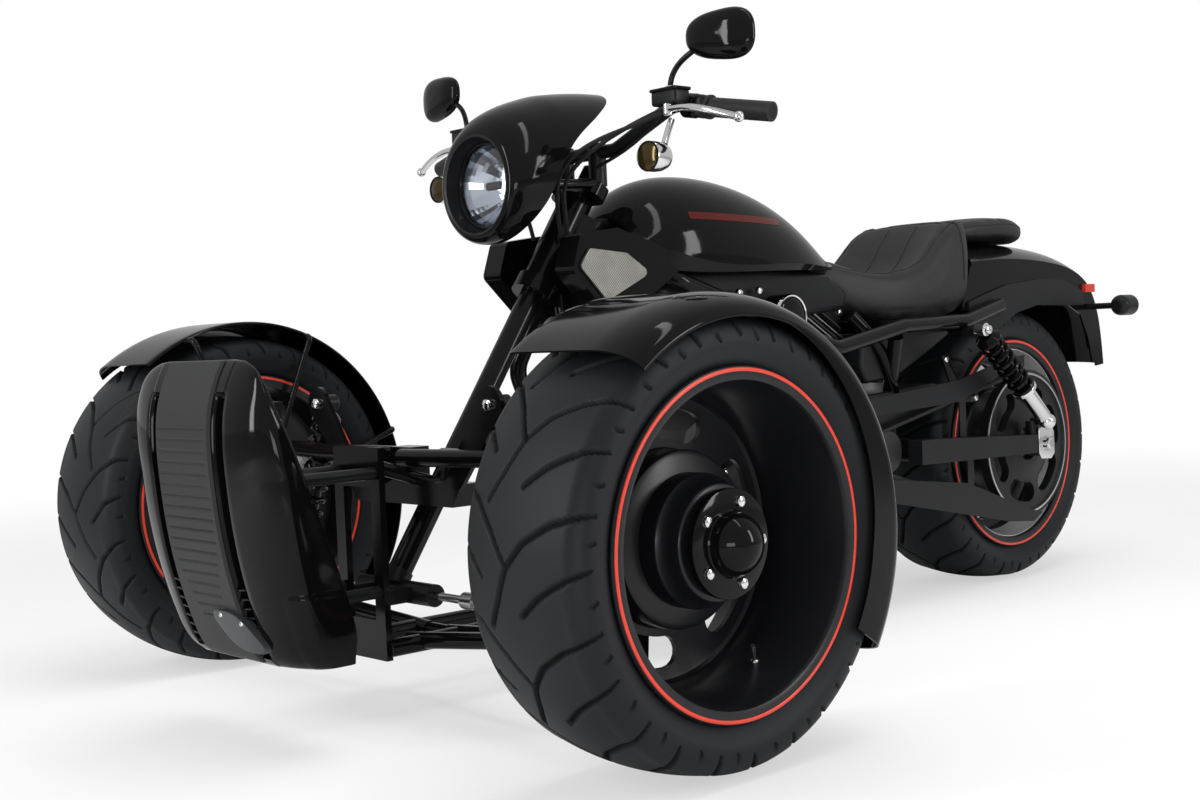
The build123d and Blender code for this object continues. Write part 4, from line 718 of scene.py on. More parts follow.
def carve(piece, centre):
    """Sinks the tread's points along the grooves, and records each one's share for the painted shade in the
    rubber's colour.
    """
    bins = groove_bins()
    shade_marks = piece.data.attributes.new("groove", "FLOAT", "POINT")
    for vertex in piece.data.vertices:
        x, y, z = (vertex.co - centre) * 1000
        r = math.hypot(x, z)
        if r < SHOULDER_FOOT + 1.5:
            continue
        s = across_tread(y, r)
        c = (math.atan2(z, x) % (2 * math.pi)) * TYRE_R
        best = 2 * GROOVE_HALF
        for s0, c0, s1, c1 in bins.get(int(c // BIN), ()):
            ds, dc = s1 - s0, c1 - c0
            t = max(0, min(1, ((s - s0) * ds + (c - c0) * dc) / (ds * ds + dc * dc)))
            best = min(best, math.hypot(s - s0 - ds * t, c - c0 - dc * t))
        # The share that sinks a point also sets the rubber's painted shade there.
        sink_and_shade = max(0.0, min(1.0, (GROOVE_HALF - best) / GROOVE_WALL))
        shade_marks.data[vertex.index].value = sink_and_shade
        vertex.co -= Vector((x / r, 0, z / r)) * GROOVE_DEPTH * sink_and_shade / 1000


def tyre(name, centre, body, node):
    piece = lathe(name, tyre_profile(), centre, rubber, body, steps=ROUND_STEPS, soft_angle=50)
    carve(piece, centre)
    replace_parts(piece, node)
    return piece


left_centre = Vector((AXLE_X, WHEEL_Y, TYRE_R / 1000))
rear_centre = Vector((AXLE_X - WHEELBASE / 1000, 0, TYRE_R / 1000))
tyre_left = tyre("tyre_front_left_tread", left_centre, "wheel_front_left", "tyre_front_left")
tyre_right = mirrored(tyre_left, "tyre_front_right_tread", "wheel_front_right")
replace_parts(tyre_right, "tyre_front_right")
tyre("tyre_rear_tread", rear_centre, "wheel_rear", "tyre_rear")
print("tyres", len(tyre_left.data.polygons), "faces each")

# %% [markdown]
# ## Rims
# Each rim is a deep dish: a barrel that steps down to a disc with six curved slots, and a boss that
# rises round the hub. It is spun from one section, and the slots are cut through the disc by a boolean,
# as a mill would.

# %% Rims with slots
INNER_LIP = [(228.5, -103), (246, -103), (246, -110), (244, -112), (222.5, -112)]
OUTER_LIP = [(222.5, 104), (226, 110), (232, 112), (240, 112), (244, 111), (246, 108), (246, 103),
             (228.5, 103)]
RIM_FRONT = INNER_LIP + [
    (209, -54), (60, -54), (60, 2), (119, 2), (126, -2), (128, -6), (128, -44), (130, -46), (199, -46),
    (205, -45), (209, -40), (209, 2), (211, 6),
] + OUTER_LIP
RIM_REAR = INNER_LIP + [
    (209, 12), (12.6, 12), (12.6, 60), (119, 60), (126, 57), (128, 52), (128, 22), (130, 20), (201, 20),
    (209, 24), (211, 40),
] + OUTER_LIP


def slot_cutter(centre, y_middle, depth, ring_r=165.0, half=23.0, half_turn=10.0):
    """Six curved sausage shapes on a ring, to be cut away from a disc."""
    half_turn = math.radians(half_turn)
    cutters = []
    for number in range(6):
        middle_turn = math.radians(102 + 60 * number)
        ring = []
        for way in (1, -1):
            for i in range(13):
                turn = middle_turn - way * half_turn + way * 2 * half_turn * i / 12
                ring.append((ring_r + way * half, turn))
            for i in range(1, 8):
                angle = math.pi * i / 8
                swing = way * half * math.sin(angle) / ring_r
                ring.append((ring_r + way * half * math.cos(angle), middle_turn + way * half_turn + swing))
        points = [Vector((r * math.cos(t) / 1000, (y_middle - depth) / 1000, r * math.sin(t) / 1000))
                  for r, t in ring]
        cutters.append(prism("cutter", points, 2 * depth / 1000))
        cutters[-1].data.transform(Matrix.Translation(centre))
    return join("slot_cutter", cutters)


def slotted(name, profile, centre, material, body, node, steps, y_middle, depth, **slot):
    """A spun disc with six slots cut through it."""
    piece = lathe(name, profile, centre, material, body, steps=steps, closed=True, finish=False)
    pick(piece)
    bpy.ops.object.transform_apply(location=True, rotation=True, scale=True)
    cutter = slot_cutter(centre, y_middle, depth, **slot)
    modify(piece, "BOOLEAN", operation="DIFFERENCE", object=cutter, solver="EXACT")
    bpy.data.objects.remove(cutter)
    clean(piece, 0.0001)
    settle(piece, material, body, 30)
    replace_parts(piece, node)
    return piece


rim_left = slotted("rim_front_left_dish", RIM_FRONT, left_centre, rim_black, "wheel_front_left",
                   "rim_front_left", 180, -50, 10)
rim_right = mirrored(rim_left, "rim_front_right_dish", "wheel_front_right")
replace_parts(rim_right, "rim_front_right")
slotted("rim_rear_dish", RIM_REAR, rear_centre, rim_black, "wheel_rear", "rim_rear", 180, 16, 10)


def stripe(name, centre, offset, body):
    """A painted hoop that stands a hair proud of the rim's lip."""
    rows = [(237.4, offset), (237.8, offset + 0.8), (239.0, offset + 1.2), (241.6, offset + 1.2),
            (242.7, offset + 0.7), (243.0, offset), (242.6, offset - 2), (238.0, offset - 2)]
    return lathe(name, rows, centre, red_paint, body, steps=160, closed=True, soft_angle=60)


LIP_Y = 111.6
stripe_left = stripe("stripe_front_left", left_centre, LIP_Y, "wheel_front_left")
mirrored(stripe_left, "stripe_front_right", "wheel_front_right")
inner_left = stripe("stripe_inner_left", left_centre, 1.0 - LIP_Y, "wheel_front_left")
mirrored(inner_left, "stripe_inner_right", "wheel_front_right")
stripe("stripe_rear_left", rear_centre, LIP_Y, "wheel_rear")
print("rims", len(rim_left.data.polygons), "faces")

# %% [markdown]
# ## Hubs
# The front hub is a stepped barrel that stands out of the dish, with a gloss flange, five chrome bolts
# and a domed cap. Its section is drawn as arcs so that the highlights run round it without facets.


# %% Hubs, bolts and caps
def arc(centre_r, centre_y, radius, start, end, steps):
    """Points on an arc of a section, angles in degrees from the radius's direction towards the outside."""
    turns = [math.radians(start + (end - start) * i / steps) for i in range(steps + 1)]
    return [(centre_r + radius * math.cos(turn), centre_y + radius * math.sin(turn)) for turn in turns]


def dome_rows(radius, rise, offset, steps=14):
    """The section of a spherical cap from its rim to its middle."""
    sphere = (radius ** 2 + rise ** 2) / (2 * rise)
    turns = [math.asin(radius / sphere) * (1 - i / steps) for i in range(steps + 1)]
    return [(sphere * math.sin(turn), offset + rise - sphere * (1 - math.cos(turn))) for turn in turns]


def beside(centre, radius, degrees, out):
    """A point beside a wheel's middle: radius, turn and distance outwards, in millimetres and degrees."""
    turn = math.radians(degrees)
    radius = radius / 1000
    return Vector(centre) + Vector((radius * math.cos(turn), out / 1000, radius * math.sin(turn)))


CAP_R, CAP_RISE, CAP_TOP = 44, 29, 132
HUB_BARREL = [(60, -84), (60, 2.3), (96, 2.3)] + arc(90, 30, 6, 0, 60, 4) + [(84, 52)]
HUB_BARREL += arc(78, 62, 6, 30, 80, 4) + [(70, 69), (69, 77)]
HUB_CAP = [(44.5, 101), (45, 97), (46, 90), (48, 88), (74, 87.4), (76.4, 86.6), (77, 85), (77, 78), (69, 77)]
HUB_CAP = dome_rows(CAP_R, CAP_RISE, CAP_TOP - CAP_RISE, 16)[::-1] + HUB_CAP
HUB_BACK = [(60, -84), (60, -86), (140, -86), (140, -90), (17.8, -90), (17.8, -84), (60, -84)]
VALVE = [(0, 36), (3.4, 36), (4, 33), (4, 22), (3, 21), (3, 8), (5.5, 6), (6, -8)]
VALVE_TURN = -118


def front_hub(centre, body, node):
    """The hub's barrel, cap, back plate, bolts and valve."""
    barrel = lathe("hub_barrel", HUB_BARREL, centre, rim_black, body, steps=120, soft_angle=40)
    cap = lathe("hub_cap", HUB_CAP, centre, black_paint, body, steps=120, soft_angle=30)
    back = lathe("hub_back", HUB_BACK, centre, steel, body, steps=96, soft_angle=30)
    heads = [bolt(beside(centre, 60, 180 + 72 * number, 87.2), (0, 1, 0), chrome, body, 8.5, 7.0)
             for number in range(5)]
    foot = beside(centre, 215.5, VALVE_TURN, 30)
    tip = beside(centre, 186, VALVE_TURN, 40)
    valve = lathe("valve", VALVE, foot, steel, body, steps=16, axis=tip - foot)
    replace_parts(barrel, node)
    return [barrel, cap, back, join("hub_bolts", heads), valve]


left_hub = front_hub(left_centre, "wheel_front_left", "hub_front_left")
for piece in left_hub:
    twin = mirrored(piece, piece.name + "_right", "wheel_front_right")
    if piece.name == "hub_barrel":
        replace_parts(twin, "hub_front_right")
print("hubs", len(left_hub), "pieces a side")

# %% [markdown]
# ## Front fenders
# The real fender is one pressed sheet: a crown over the tread that rolls over into a skirt outside the
# tyre, and the skirt is cut back to a circle that shows the rim. A grid is bent to that section, and
# solidified into sheet.

# %% Fenders on their stays
FENDER_BACK, FENDER_FRONT = 214, 52
CROWN_R, CROWN_EDGE, SKIRT_Y, SKIRT_R = 350.0, 690.0, 776.0, 316.0
ROLL_DROP, ROLL_OUT = 34, 84
HEM_X, HEM_Z, HEM_R = 34, 26, 300
STAY_FOOT, STAY_TOP, STAY_Y = 27, 342, 513.7


def fender_place(u, v):
    """u runs round the wheel, v from the crown's inner edge over the roll and down the skirt."""
    turn = math.radians(FENDER_BACK - (FENDER_BACK - FENDER_FRONT) * u)
    reach = math.cos(turn) * HEM_X + math.sin(turn) * HEM_Z
    hem = max(262.0, reach + math.sqrt(HEM_R ** 2 - (HEM_X ** 2 + HEM_Z ** 2) + reach ** 2))
    hem = min(hem, SKIRT_R - 4)
    roll_top = CROWN_R - ROLL_DROP
    roll = [math.radians(90 * i / 10) for i in range(1, 10)]
    rows = [(CROWN_R - 5.0, 532.0), (CROWN_R - 1.2, 534.0), (CROWN_R, 540.0), (CROWN_R, 600.0),
            (CROWN_R, CROWN_EDGE - 18)]
    rows += [(roll_top + ROLL_DROP * math.cos(a), CROWN_EDGE + ROLL_OUT * math.sin(a)) for a in roll]
    rows += [(SKIRT_R, SKIRT_Y), ((SKIRT_R + hem) / 2, SKIRT_Y), (hem, SKIRT_Y - 0.5)]
    r, y = along_rows(rows, v)
    return on_circle(0, y, TYRE_R, r, turn)


fender_left = skin("fender_left_skin", 97, 37, fender_place, black_paint, "knuckle_left", wall=3.0,
                   soft_angle=50)
stays = []
for angle in (68, 112, 160):
    turn = math.radians(angle)
    foot = on_circle(0, STAY_Y, TYRE_R, STAY_FOOT, turn)
    top = on_circle(0, STAY_Y, TYRE_R, STAY_TOP, turn)
    inward = on_circle(0, 600, TYRE_R, STAY_TOP, turn)
    run = [foot, foot.lerp(top, 0.5), foot.lerp(top, 0.9), top, top.lerp(inward, 0.35), inward]
    stays.append(tube("stay", run, 6, frame_black, "knuckle_left"))
fender_stays = join("fender_left_stays", stays)
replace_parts(fender_left, "fender_front_left")
fender_right = mirrored(fender_left, "fender_right_skin", "knuckle_right")
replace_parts(fender_right, "fender_front_right")
mirrored(fender_stays, "fender_right_stays", "knuckle_right")
print("fenders", len(fender_left.data.polygons), "faces each")

# %% [markdown]
# ## Seat and pillion pad
# The seat is a leather bucket: a narrow nose, a dish, and a back that rises over it with a rolled rim.
# Each cross section is a loop of a few points, the loops follow a table from nose to back, and a short
# cloth simulation with a little air pressure fills the skin between its edges. Seams are sewn on
# afterwards, because the remesh would lose them.

# %% Seat and pillion, filled by cloth pressure
SEAT_ROWS = [
    # x, middle of the dish, rim, half width, underside
    (-990, 748, 742, 48, 708), (-1040, 764, 755, 72, 678), (-1090, 750, 742, 98, 650),
    (-1140, 730, 730, 120, 636), (-1190, 718, 726, 136, 632), (-1240, 713, 732, 147, 631),
    (-1290, 721, 750, 153, 631), (-1330, 747, 782, 155, 631), (-1365, 789, 812, 155, 632),
    (-1400, 826, 834, 153, 636), (-1435, 850, 848, 148, 650), (-1466, 860, 852, 140, 680),
    (-1484, 846, 832, 128, 712),
]
PILLION_ROWS = [
    # x, middle, rim, half width, underside
    (-1503, 836, 834, 84, 806), (-1530, 846, 842, 98, 806), (-1580, 852, 848, 107, 807),
    (-1650, 857, 852, 109, 807), (-1720, 855, 850, 101, 806), (-1765, 846, 840, 84, 804),
    (-1792, 824, 820, 62, 800),
]
SECTION = [
    # turn round the section, share of half width, share from underside to rim, share of the dish's depth
    (0.00, 0.00, 0.00, 0), (0.12, 0.70, 0.00, 0), (0.20, 0.93, 0.10, 0), (0.30, 1.00, 0.40, 0),
    (0.40, 0.99, 0.76, 0), (0.47, 0.93, 0.95, 0), (0.54, 0.84, 1.00, 0), (0.62, 0.72, 0.99, 0.12),
    (0.75, 0.50, 1.00, 0.62), (0.88, 0.25, 1.00, 0.94), (1.00, 0.00, 1.00, 1),
]
FRONT_ROUNDING, BACK_ROUNDING = 0.03, 0.10
PAD_CAP = 0.005
CLOTH_FRAMES = 20
SEAM_LIFT = 0.00025


def cushion_place(rows, u, v):
    """A point of a cushion: u runs once round its section, v from the front row to the back one."""
    x = rows[0][0] + (rows[-1][0] - rows[0][0]) * v
    middle, rim_z, half, low = columns(rows, x, (1, 2, 3, 4))
    side = 1 if u < 0.5 else -1
    turn_share = 1 - abs(2 * u - 1)
    width, height, dish = (curve_through([(row[0], row[k]) for row in SECTION], turn_share)
                           for k in (1, 2, 3))
    end = rounded_rise(min(v / FRONT_ROUNDING, (1 - v) / BACK_ROUNDING))
    z = low + (rim_z - low) * height + (middle - rim_z) * dish
    heart = (low + rim_z) / 2
    return at(x, side * half * width * (0.55 + 0.45 * end), heart + (z - heart) * (0.35 + 0.65 * end))


def pad(name, rows, node):
    """Builds a cushion's skin, fills it with air as cloth, and caps how far any point has moved."""
    piece = skin(name, 97, 73, lambda u, v: cushion_place(rows, u, v))
    pick(piece)
    bpy.ops.object.mode_set(mode="EDIT")
    bpy.ops.mesh.select_all(action="SELECT")
    bpy.ops.mesh.remove_doubles(threshold=0.0008)
    bpy.ops.mesh.select_all(action="DESELECT")
    bpy.ops.mesh.select_non_manifold()
    bpy.ops.mesh.edge_face_add()
    bpy.ops.mesh.select_all(action="SELECT")
    bpy.ops.mesh.normals_make_consistent(inside=False)
    bpy.ops.object.mode_set(mode="OBJECT")
    modify(piece, "REMESH", mode="VOXEL", voxel_size=0.006)
    before = [v.co.copy() for v in piece.data.vertices]
    cloth = piece.modifiers.new("air", "CLOTH")
    cloth.settings.use_pressure = True
    cloth.settings.uniform_pressure_force = 4.0
    cloth.settings.effector_weights.gravity = 0.0
    cloth.settings.quality = 6
    scene = bpy.context.scene
    for frame_number in range(1, CLOTH_FRAMES + 1):
        scene.frame_set(frame_number)
    bpy.ops.object.modifier_apply(modifier="air")
    scene.frame_set(1)
    for vertex, start in zip(piece.data.vertices, before):
        step = vertex.co - start
        if step.length > PAD_CAP:
            vertex.co = start + step * (PAD_CAP / step.length)
    modify(piece, "SMOOTH", factor=0.5, iterations=6)
    modify(piece, "SUBSURF", levels=1, render_levels=1)
    settle(piece, leather, "chassis", 60)
    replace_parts(piece, node)
    return piece


# %% [markdown]
# ## Sewing the seams
# A seam is a thin raised line. Its points are found on the finished leather, the nearest to where the
# pattern puts them, so that it follows the cushion wherever the air has pushed it.


# %% Pads and their seams
def sewn(name, piece, rows, radius, steps, course):
    """A raised seam laid on a pad: course(share) gives its place round the pad and along it."""
    spots = []
    for i in range(steps + 1):
        spot, normal = piece.closest_point_on_mesh(cushion_place(rows, *course(i / steps)))[1:3]
        spots.append(spot + normal * radius * SEAM_LIFT)
    return tube(name, spots, radius, leather, "chassis", sides=3)


seat_pad = pad("seat_leather", SEAT_ROWS, "seat")
seams = []
for side in (1, -1):
    seams.append(sewn("seam", seat_pad, SEAT_ROWS, 1.1, 24, lambda s: (0.5 + side * 0.06, 0.30 + 0.60 * s)))
    seams.append(sewn("seam", seat_pad, SEAT_ROWS, 1.3, 36, lambda s: (0.5 + side * 0.215, 0.12 + 0.80 * s)))
seams.append(sewn("piping", seat_pad, SEAT_ROWS, 1.8, 48, lambda s: (0.14 + 0.72 * s, 0.875)))
join("seat_seams", seams)
pillion_pad = pad("pillion_leather", PILLION_ROWS, "pillion_pad")
join("pillion_seams", [sewn("seam", pillion_pad, PILLION_ROWS, 1.2, 30, lambda s: (edge, 0.05 + 0.9 * s))
                       for edge in (0.21, 0.79)])
print("seat", len(seat_pad.data.polygons), "pillion", len(pillion_pad.data.polygons))

# %% [markdown]
# ## Headlamp
# Under the fairing's front ring sits a round lamp: a thick black bezel, a clear domed glass and a
# faceted chrome bowl round the bulb, darker and bluish with painted shade and reflection. All of them are
# turned about the same level axis.

# %% Headlamp with its reflector and glass
LAMP_X, LAMP_Z = -186, 893
LAMP = at(LAMP_X, 0, LAMP_Z)
FORWARD = (1, 0, 0)
LAMP_SHELL = [(70.5, -3), (71, 2), (73, 4.5), (76, 5), (78.8, 3.6), (80, 0), (80, -12), (77, -30), (68, -62),
              (56, -88), (44, -102), (0, -105)]
LAMP_BULB = [(0, -14), (6, -15), (9, -19), (10, -26), (10, -50)]
LAMP_BOWL = [(70 - 60 * (i / 12), -4 - 50 * (1 - (1 - i / 12) ** 2)) for i in range(13)]
LAMP_GLASS = dome_rows(70.8, 15, 0) + dome_rows(69.0, 13, -0.5)[::-1]
lamp_shell = lathe("lamp_shell", LAMP_SHELL, LAMP, black_paint, "steering", steps=96, axis=FORWARD)
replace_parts(lamp_shell, "headlamp")
# The bowl's darker, bluish chrome is painted shade and reflection.
lathe("lamp_reflector", LAMP_BOWL, LAMP, lamp_chrome_painted_shade, "steering", steps=32, soft_angle=0, axis=FORWARD)
lathe("lamp_bulb", LAMP_BULB, LAMP, chrome, "steering", steps=32, axis=FORWARD)
lathe("lamp_glass", LAMP_GLASS, LAMP, lens_glass, "steering", steps=96, closed=True, axis=FORWARD)
arms = []
for side in (1, -1):
    run = [at(-250, side * 30, LAMP_Z), at(-300, side * 44, 895), at(-398, side * 50, 900)]
    arms.append(tube("lamp_arm", run, 9, frame_black, "steering"))
join("lamp_arms", arms)
rounded_box("lamp_bulb_shade", LAMP - Vector((0.016, 0, 0)), (9, 40, 15), 4, satin_black, "steering")
print("headlamp ready")

# %% [markdown]
# ## Handlebar mirrors
# The mirror is a teardrop, taller at its outer end, so its outline is an oval pushed outwards. The
# shell's back is that outline shrunk and set back in a few smooth steps. The left side is made here and
# mirrored later.

# %% Mirror on its stem
MIRROR_MIDDLE = at(-392, 388, 1116)
MIRROR_TURN = math.radians(8)
MIRROR_HALF, MIRROR_RISE, MIRROR_DROOP, MIRROR_FLARE = 70, 42, 3.5, 0.16
MIRROR_DEPTHS = [(0, 2.5), (0.06, 0), (0.14, 0.5), (0.3, 8), (0.5, 15), (0.75, 21), (1, 23)]
MIRROR_SIZES = [(0, 0.93), (0.06, 0.97), (0.14, 1.0), (0.3, 0.96), (0.5, 0.82), (0.75, 0.48), (1, 0.0)]
UPWARD = (0, 0, 1)


def mirror_point(turn_share, size, depth):
    """A point of the mirror, whose outline is taller at its outer end."""
    turn = 2 * math.pi * turn_share
    side = MIRROR_HALF * blunted(math.cos(turn), 0.72)
    outer = side / MIRROR_HALF
    rise = MIRROR_RISE * blunted(math.sin(turn), 0.78) * (1 + MIRROR_FLARE * outer) - MIRROR_DROOP * outer
    forward = Vector((math.cos(MIRROR_TURN), math.sin(MIRROR_TURN), 0))
    across = Vector((-math.sin(MIRROR_TURN), math.cos(MIRROR_TURN), 0))
    return MIRROR_MIDDLE + (across * side * size + Vector((0, 0, rise * size)) + forward * depth) / 1000


def mirror_shell_place(u, v):
    """u round the outline, v from the glass's edge over the rim to the middle of the back."""
    return mirror_point(u, curve_through(MIRROR_SIZES, v), curve_through(MIRROR_DEPTHS, v))


def mirror_glass_place(u, v):
    return mirror_point(u, 0.94 * (1 - v), 2.6)


mirror_shell = skin("mirror_left_shell", 65, 25, mirror_shell_place, black_paint, "steering", soft_angle=60)
mirror_face = skin("mirror_left_glass", 65, 5, mirror_glass_place, mirror_glass, "steering", soft_angle=60)
run = route((-370, 285, 1034), (-370, 286, 1052), (-374, 300, 1076), (-380, 322, 1092), (-383, 345, 1102))
stem = tube("mirror_left_stem", run, 5, black_paint, "steering")
nut = lathe("mirror_left_nut", [(0, 12), (8, 12), (9, 9), (9, 0), (0, 0)], at(-370, 285, 1031), chrome,
            "steering", steps=6, soft_angle=20, axis=UPWARD)
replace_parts(mirror_shell, "mirrors")
controls = [mirror_shell, mirror_face, stem, nut]
print("mirror", len(mirror_shell.data.polygons), "faces")

# %% [markdown]
# ## Levers and their perches
# The perch is turned round the bar's own line, the fluid box and switch are small rounded blocks, and
# the lever is a tube with a ball at its tip, as forged levers have.

# %% Perch, reservoir, switch and lever
BAR_IN_Y, BAR_OUT_Y = 265, 460
BAR_IN, BAR_OUT = at(-400, BAR_IN_Y, 1016), at(-434, BAR_OUT_Y, 980)


def on_bar(y):
    """A point on the bar's outer run."""
    return BAR_IN.lerp(BAR_OUT, (y - BAR_IN_Y) / (BAR_OUT_Y - BAR_IN_Y))


PERCH = [(0, -13), (20, -13), (21.5, -11), (21.5, 11), (20, 13), (0, 13)]
PIVOT = [(0, 10), (7, 10), (8.5, 8.5), (8.5, -8.5), (7, -10), (0, -10)]
perch = lathe("perch_left", PERCH, on_bar(300), black_paint, "steering", steps=40, axis=BAR_OUT - BAR_IN)
tank_box = rounded_box("reservoir_left", at(-370, 285, 1022), (38, 60, 26), 5, satin_black, "steering")
lid = rounded_box("reservoir_lid_left", at(-370, 285, 1036), (41, 63, 6), 2, black_paint, "steering")
switch = rounded_box("switch_left", on_bar(322), (36, 26, 40), 8, satin_black, "steering",
                     turn=(math.radians(-10), 0, math.radians(10)))
run = route((-356, 292, 1001), (-352, 322, 1001), (-350, 356, 996), (-356, 400, 984), (-368, 438, 971))
blade = tube("lever_left", run, 6.2, chrome, "steering")
tip = lathe("lever_tip_left", ball_rows(9.2, 14), at(-369, 443, 970), chrome, "steering", steps=28)
pivot = lathe("lever_pivot_left", PIVOT, run[0], chrome, "steering", steps=24, axis=UPWARD)
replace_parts(blade, "levers")
controls += [perch, tank_box, lid, switch, blade, tip, pivot]
print("lever and perch", len(controls), "pieces so far")

# %% [markdown]
# ## Signals and the right-hand side
# A bullet signal is turned like the lamp: a chrome shell, a smoked lens and a thin ring. With it the
# left side is complete, and every piece of it gets a twin.

# %% Signals, brake line and twins
SIGNAL = at(-322, 296, 918)
BULLET = [(25.2, 24), (26, 20), (26, 6), (24.5, -6), (20.5, -16), (14, -23), (6, -26.5), (0, -27)]
SIGNAL_RING = [(23.5, 24), (25.5, 24.5), (26.2, 22.5), (25, 21), (23.5, 21)]
bullet = lathe("signal_left", BULLET, SIGNAL, chrome, "steering", steps=48, axis=FORWARD)
lens = lathe("signal_lens_left", dome_rows(25, 5, 22), SIGNAL, amber_lens, "steering", steps=48,
             axis=FORWARD)
ring = lathe("signal_ring_left", SIGNAL_RING, SIGNAL, black_paint, "steering", steps=48, closed=True,
             axis=FORWARD)
run = route((-340, 296, 940), (-352, 293, 962), (-366, 290, 984))
stalk = tube("signal_stalk_left", run, 6, chrome, "steering")
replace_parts(bullet, "signals_front")
run = route((-378, 262, 1014), (-392, 240, 1000), (-404, 190, 978), (-410, 140, 958), (-404, 90, 938),
            (-402, 40, 925))
controls += [bullet, lens, ring, stalk, tube("brake_line_left", run, 3.2, belt_rubber, "steering")]
for piece in controls:
    mirrored(piece, piece.name.replace("left", "right"), "steering")
print("controls", len(controls), "pieces a side")

# %% [markdown]
# ## Springs and dampers
# A shock is a body in a coil between two eyes. The coil is a long helix of wire, so it is drawn point
# by point as a tube along a rising circle.


# %% Shocks with real coils
def spring(name, top, foot, radius, wire, turns, start, end):
    """A helix between two shares of the line from top to foot."""
    along = (foot - top).normalized()
    sideways = along.orthogonal().normalized()
    other = along.cross(sideways)
    length = (foot - top).length
    points = []
    count = int(turns * 16)
    for i in range(count + 1):
        share = i / count
        turn = 2 * math.pi * turns * share
        spot = top + along * length * (start + (end - start) * share)
        points.append(spot + (sideways * math.cos(turn) + other * math.sin(turn)) * (radius - wire) / 1000)
    return tube(name, points, wire, black_paint, "chassis", sides=2, runs=2)


def shock(name, top, foot, node, radius, turns, lower_finish, coil_end, wire):
    """A damper with its cap, body, core and coil."""
    length = (foot - top).length * 1000
    rest = coil_end * length
    cap = [(0, 18), (16, 18), (20, 22), (radius, 30), (radius, 36), (radius - 4, 40), (0, 40)]
    body = [(0, rest - 2), (radius - 1, rest - 2), (radius, rest), (radius, rest + 7),
            (radius - 2, rest + 9), (19, rest + 12), (18, length - 22), (14, length - 14), (0, length - 14)]
    core = [(0, 30), (15, 30), (15, rest), (0, rest)]
    made = []
    for mark, rows, material, steps in (("_cap", cap, black_paint, 48), ("_body", body, lower_finish, 48),
                                        ("_core", core, black_paint, 32)):
        made.append(lathe(name + mark, rows, top, material, "chassis", steps=steps, axis=foot - top))
    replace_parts(made[1], node)
    return made + [spring(name + "_coil", top, foot, radius, wire, turns, 38 / length, coil_end)]


def across_eye(name, place, half, axis, material):
    """A short round eye, 30 mm across, with softened edges."""
    rows = [(0, -half), (13, -half), (15, -half + 2), (15, half - 2), (13, half), (0, half)]
    return lathe(name, rows, place, material, "chassis", steps=40, axis=axis)


OUTWARD = (0, 1, 0)
rear_top, rear_foot = at(-1385, 216, 596), at(-1636, 216, 378)
front_top, front_foot = at(4, 250, 516), at(4, 392, 176)
parts = shock("rear_shock_left", rear_top, rear_foot, "shocks_rear", 29, 7, chrome, 0.62, 5.2)
parts.append(across_eye("rear_shock_eye_left", rear_top, 14, OUTWARD, chrome))
parts.append(lathe("rear_shock_foot_left", ball_rows(19.5, 16), rear_foot, chrome, "chassis", steps=40))
parts.append(bolt(rear_top + Vector((0, 0.014, 0)), OUTWARD, chrome, "chassis", 11, 9))
run = route((-1385, 168, 596), (-1385, 203, 596))
parts.append(tube("rear_shock_pin_left", run, 9, satin_black, "chassis", smooth=False))
parts += shock("front_shock_left", front_top, front_foot, "shocks_front", 26, 11, satin_black, 0.88, 4.2)
parts.append(across_eye("front_shock_eye_left", front_top, 13, FORWARD, satin_black))
parts.append(across_eye("front_shock_foot_left", front_foot, 13, FORWARD, satin_black))
for piece in parts:
    mirrored(piece, piece.name.replace("left", "right") + "_r", "chassis")
join("tower_bolts", [bolt(at(30.2, side * 250, 516), FORWARD, chrome, "chassis", 10, 9) for side in (1, -1)])
print("shocks", len(parts), "pieces a side")

# %% [markdown]
# ## Radiator shroud
# Two gloss moulded shells stand beside a matte ribbed band, with a deep channel between. The whole
# closed shell is one grid bent round its section, because a continuous surface keeps the long
# highlights that draw black gloss.

# %% Gloss shell
SHROUD_ROWS = [
    # height, setback from the front, depth, half width
    (132, 84, 84, 192), (150, 66, 100, 198), (186, 50, 114, 206), (270, 25, 113, 213), (350, 10, 98, 217),
    (430, 2, 78, 216), (480, 0, 64, 212), (530, 4, 44, 201), (570, 16, 24, 184), (592, 26, 14, 160),
    (606, 35, 7, 120),
]
SHROUD_FRONT = 430.0
SHROUD_LOW, SHROUD_HIGH = 133, 605
CHANNEL_LOW, CHANNEL_HIGH, CHANNEL_DEPTH = 150.0, 556.0, 25.0
BAND_HALF = 84
LIP_TOP, LIP_START = 252, 21


def shroud_column(z, column):
    return curve_through([(row[0], row[column]) for row in SHROUD_ROWS], z)


def shroud_face(z):
    """Where the shroud's front stands along X at a height."""
    return SHROUD_FRONT - shroud_column(z, 1)


def shroud_half_section(z):
    """Points from the middle of the front to the middle of the back: distance sideways and distance back."""
    depth, half = shroud_column(z, 2), shroud_column(z, 3)
    sweep = min(52.0, 0.66 * depth)
    deep = CHANNEL_DEPTH * rounded_rise(min((z - CHANNEL_LOW) / 16, (CHANNEL_HIGH - z) / 22))
    rows = [(0, 0), (40, 0), (76, 0), (82, 0), (84.5, 0.10 * deep), (86, 0.5 * deep), (88.5, 0.9 * deep),
            (93, deep), (105, deep), (109.5, 0.9 * deep), (111.5, 0.5 * deep), (112.8, 0.12 * deep + 1)]
    start = math.asin(31 / (half - BAND_HALF)) if half > BAND_HALF + 32 else 1.4
    for i in range(17):
        turn = start + (math.pi / 2 - start) * i / 16
        rows.append((BAND_HALF + (half - BAND_HALF) * math.sin(turn), sweep * (1 - math.cos(turn))))
    lip = 3.0 if z < LIP_TOP else 0.0
    rows = rows[:LIP_START] + [(y + lip, back - lip * 0.6) for y, back in rows[LIP_START:]]
    return rows + [(half + lip, sweep + (depth - sweep) * 0.5), (half + lip, depth - 4),
                   (half - 2, depth - 1), (half - 6, depth), (half * 0.6, depth), (0, depth)]


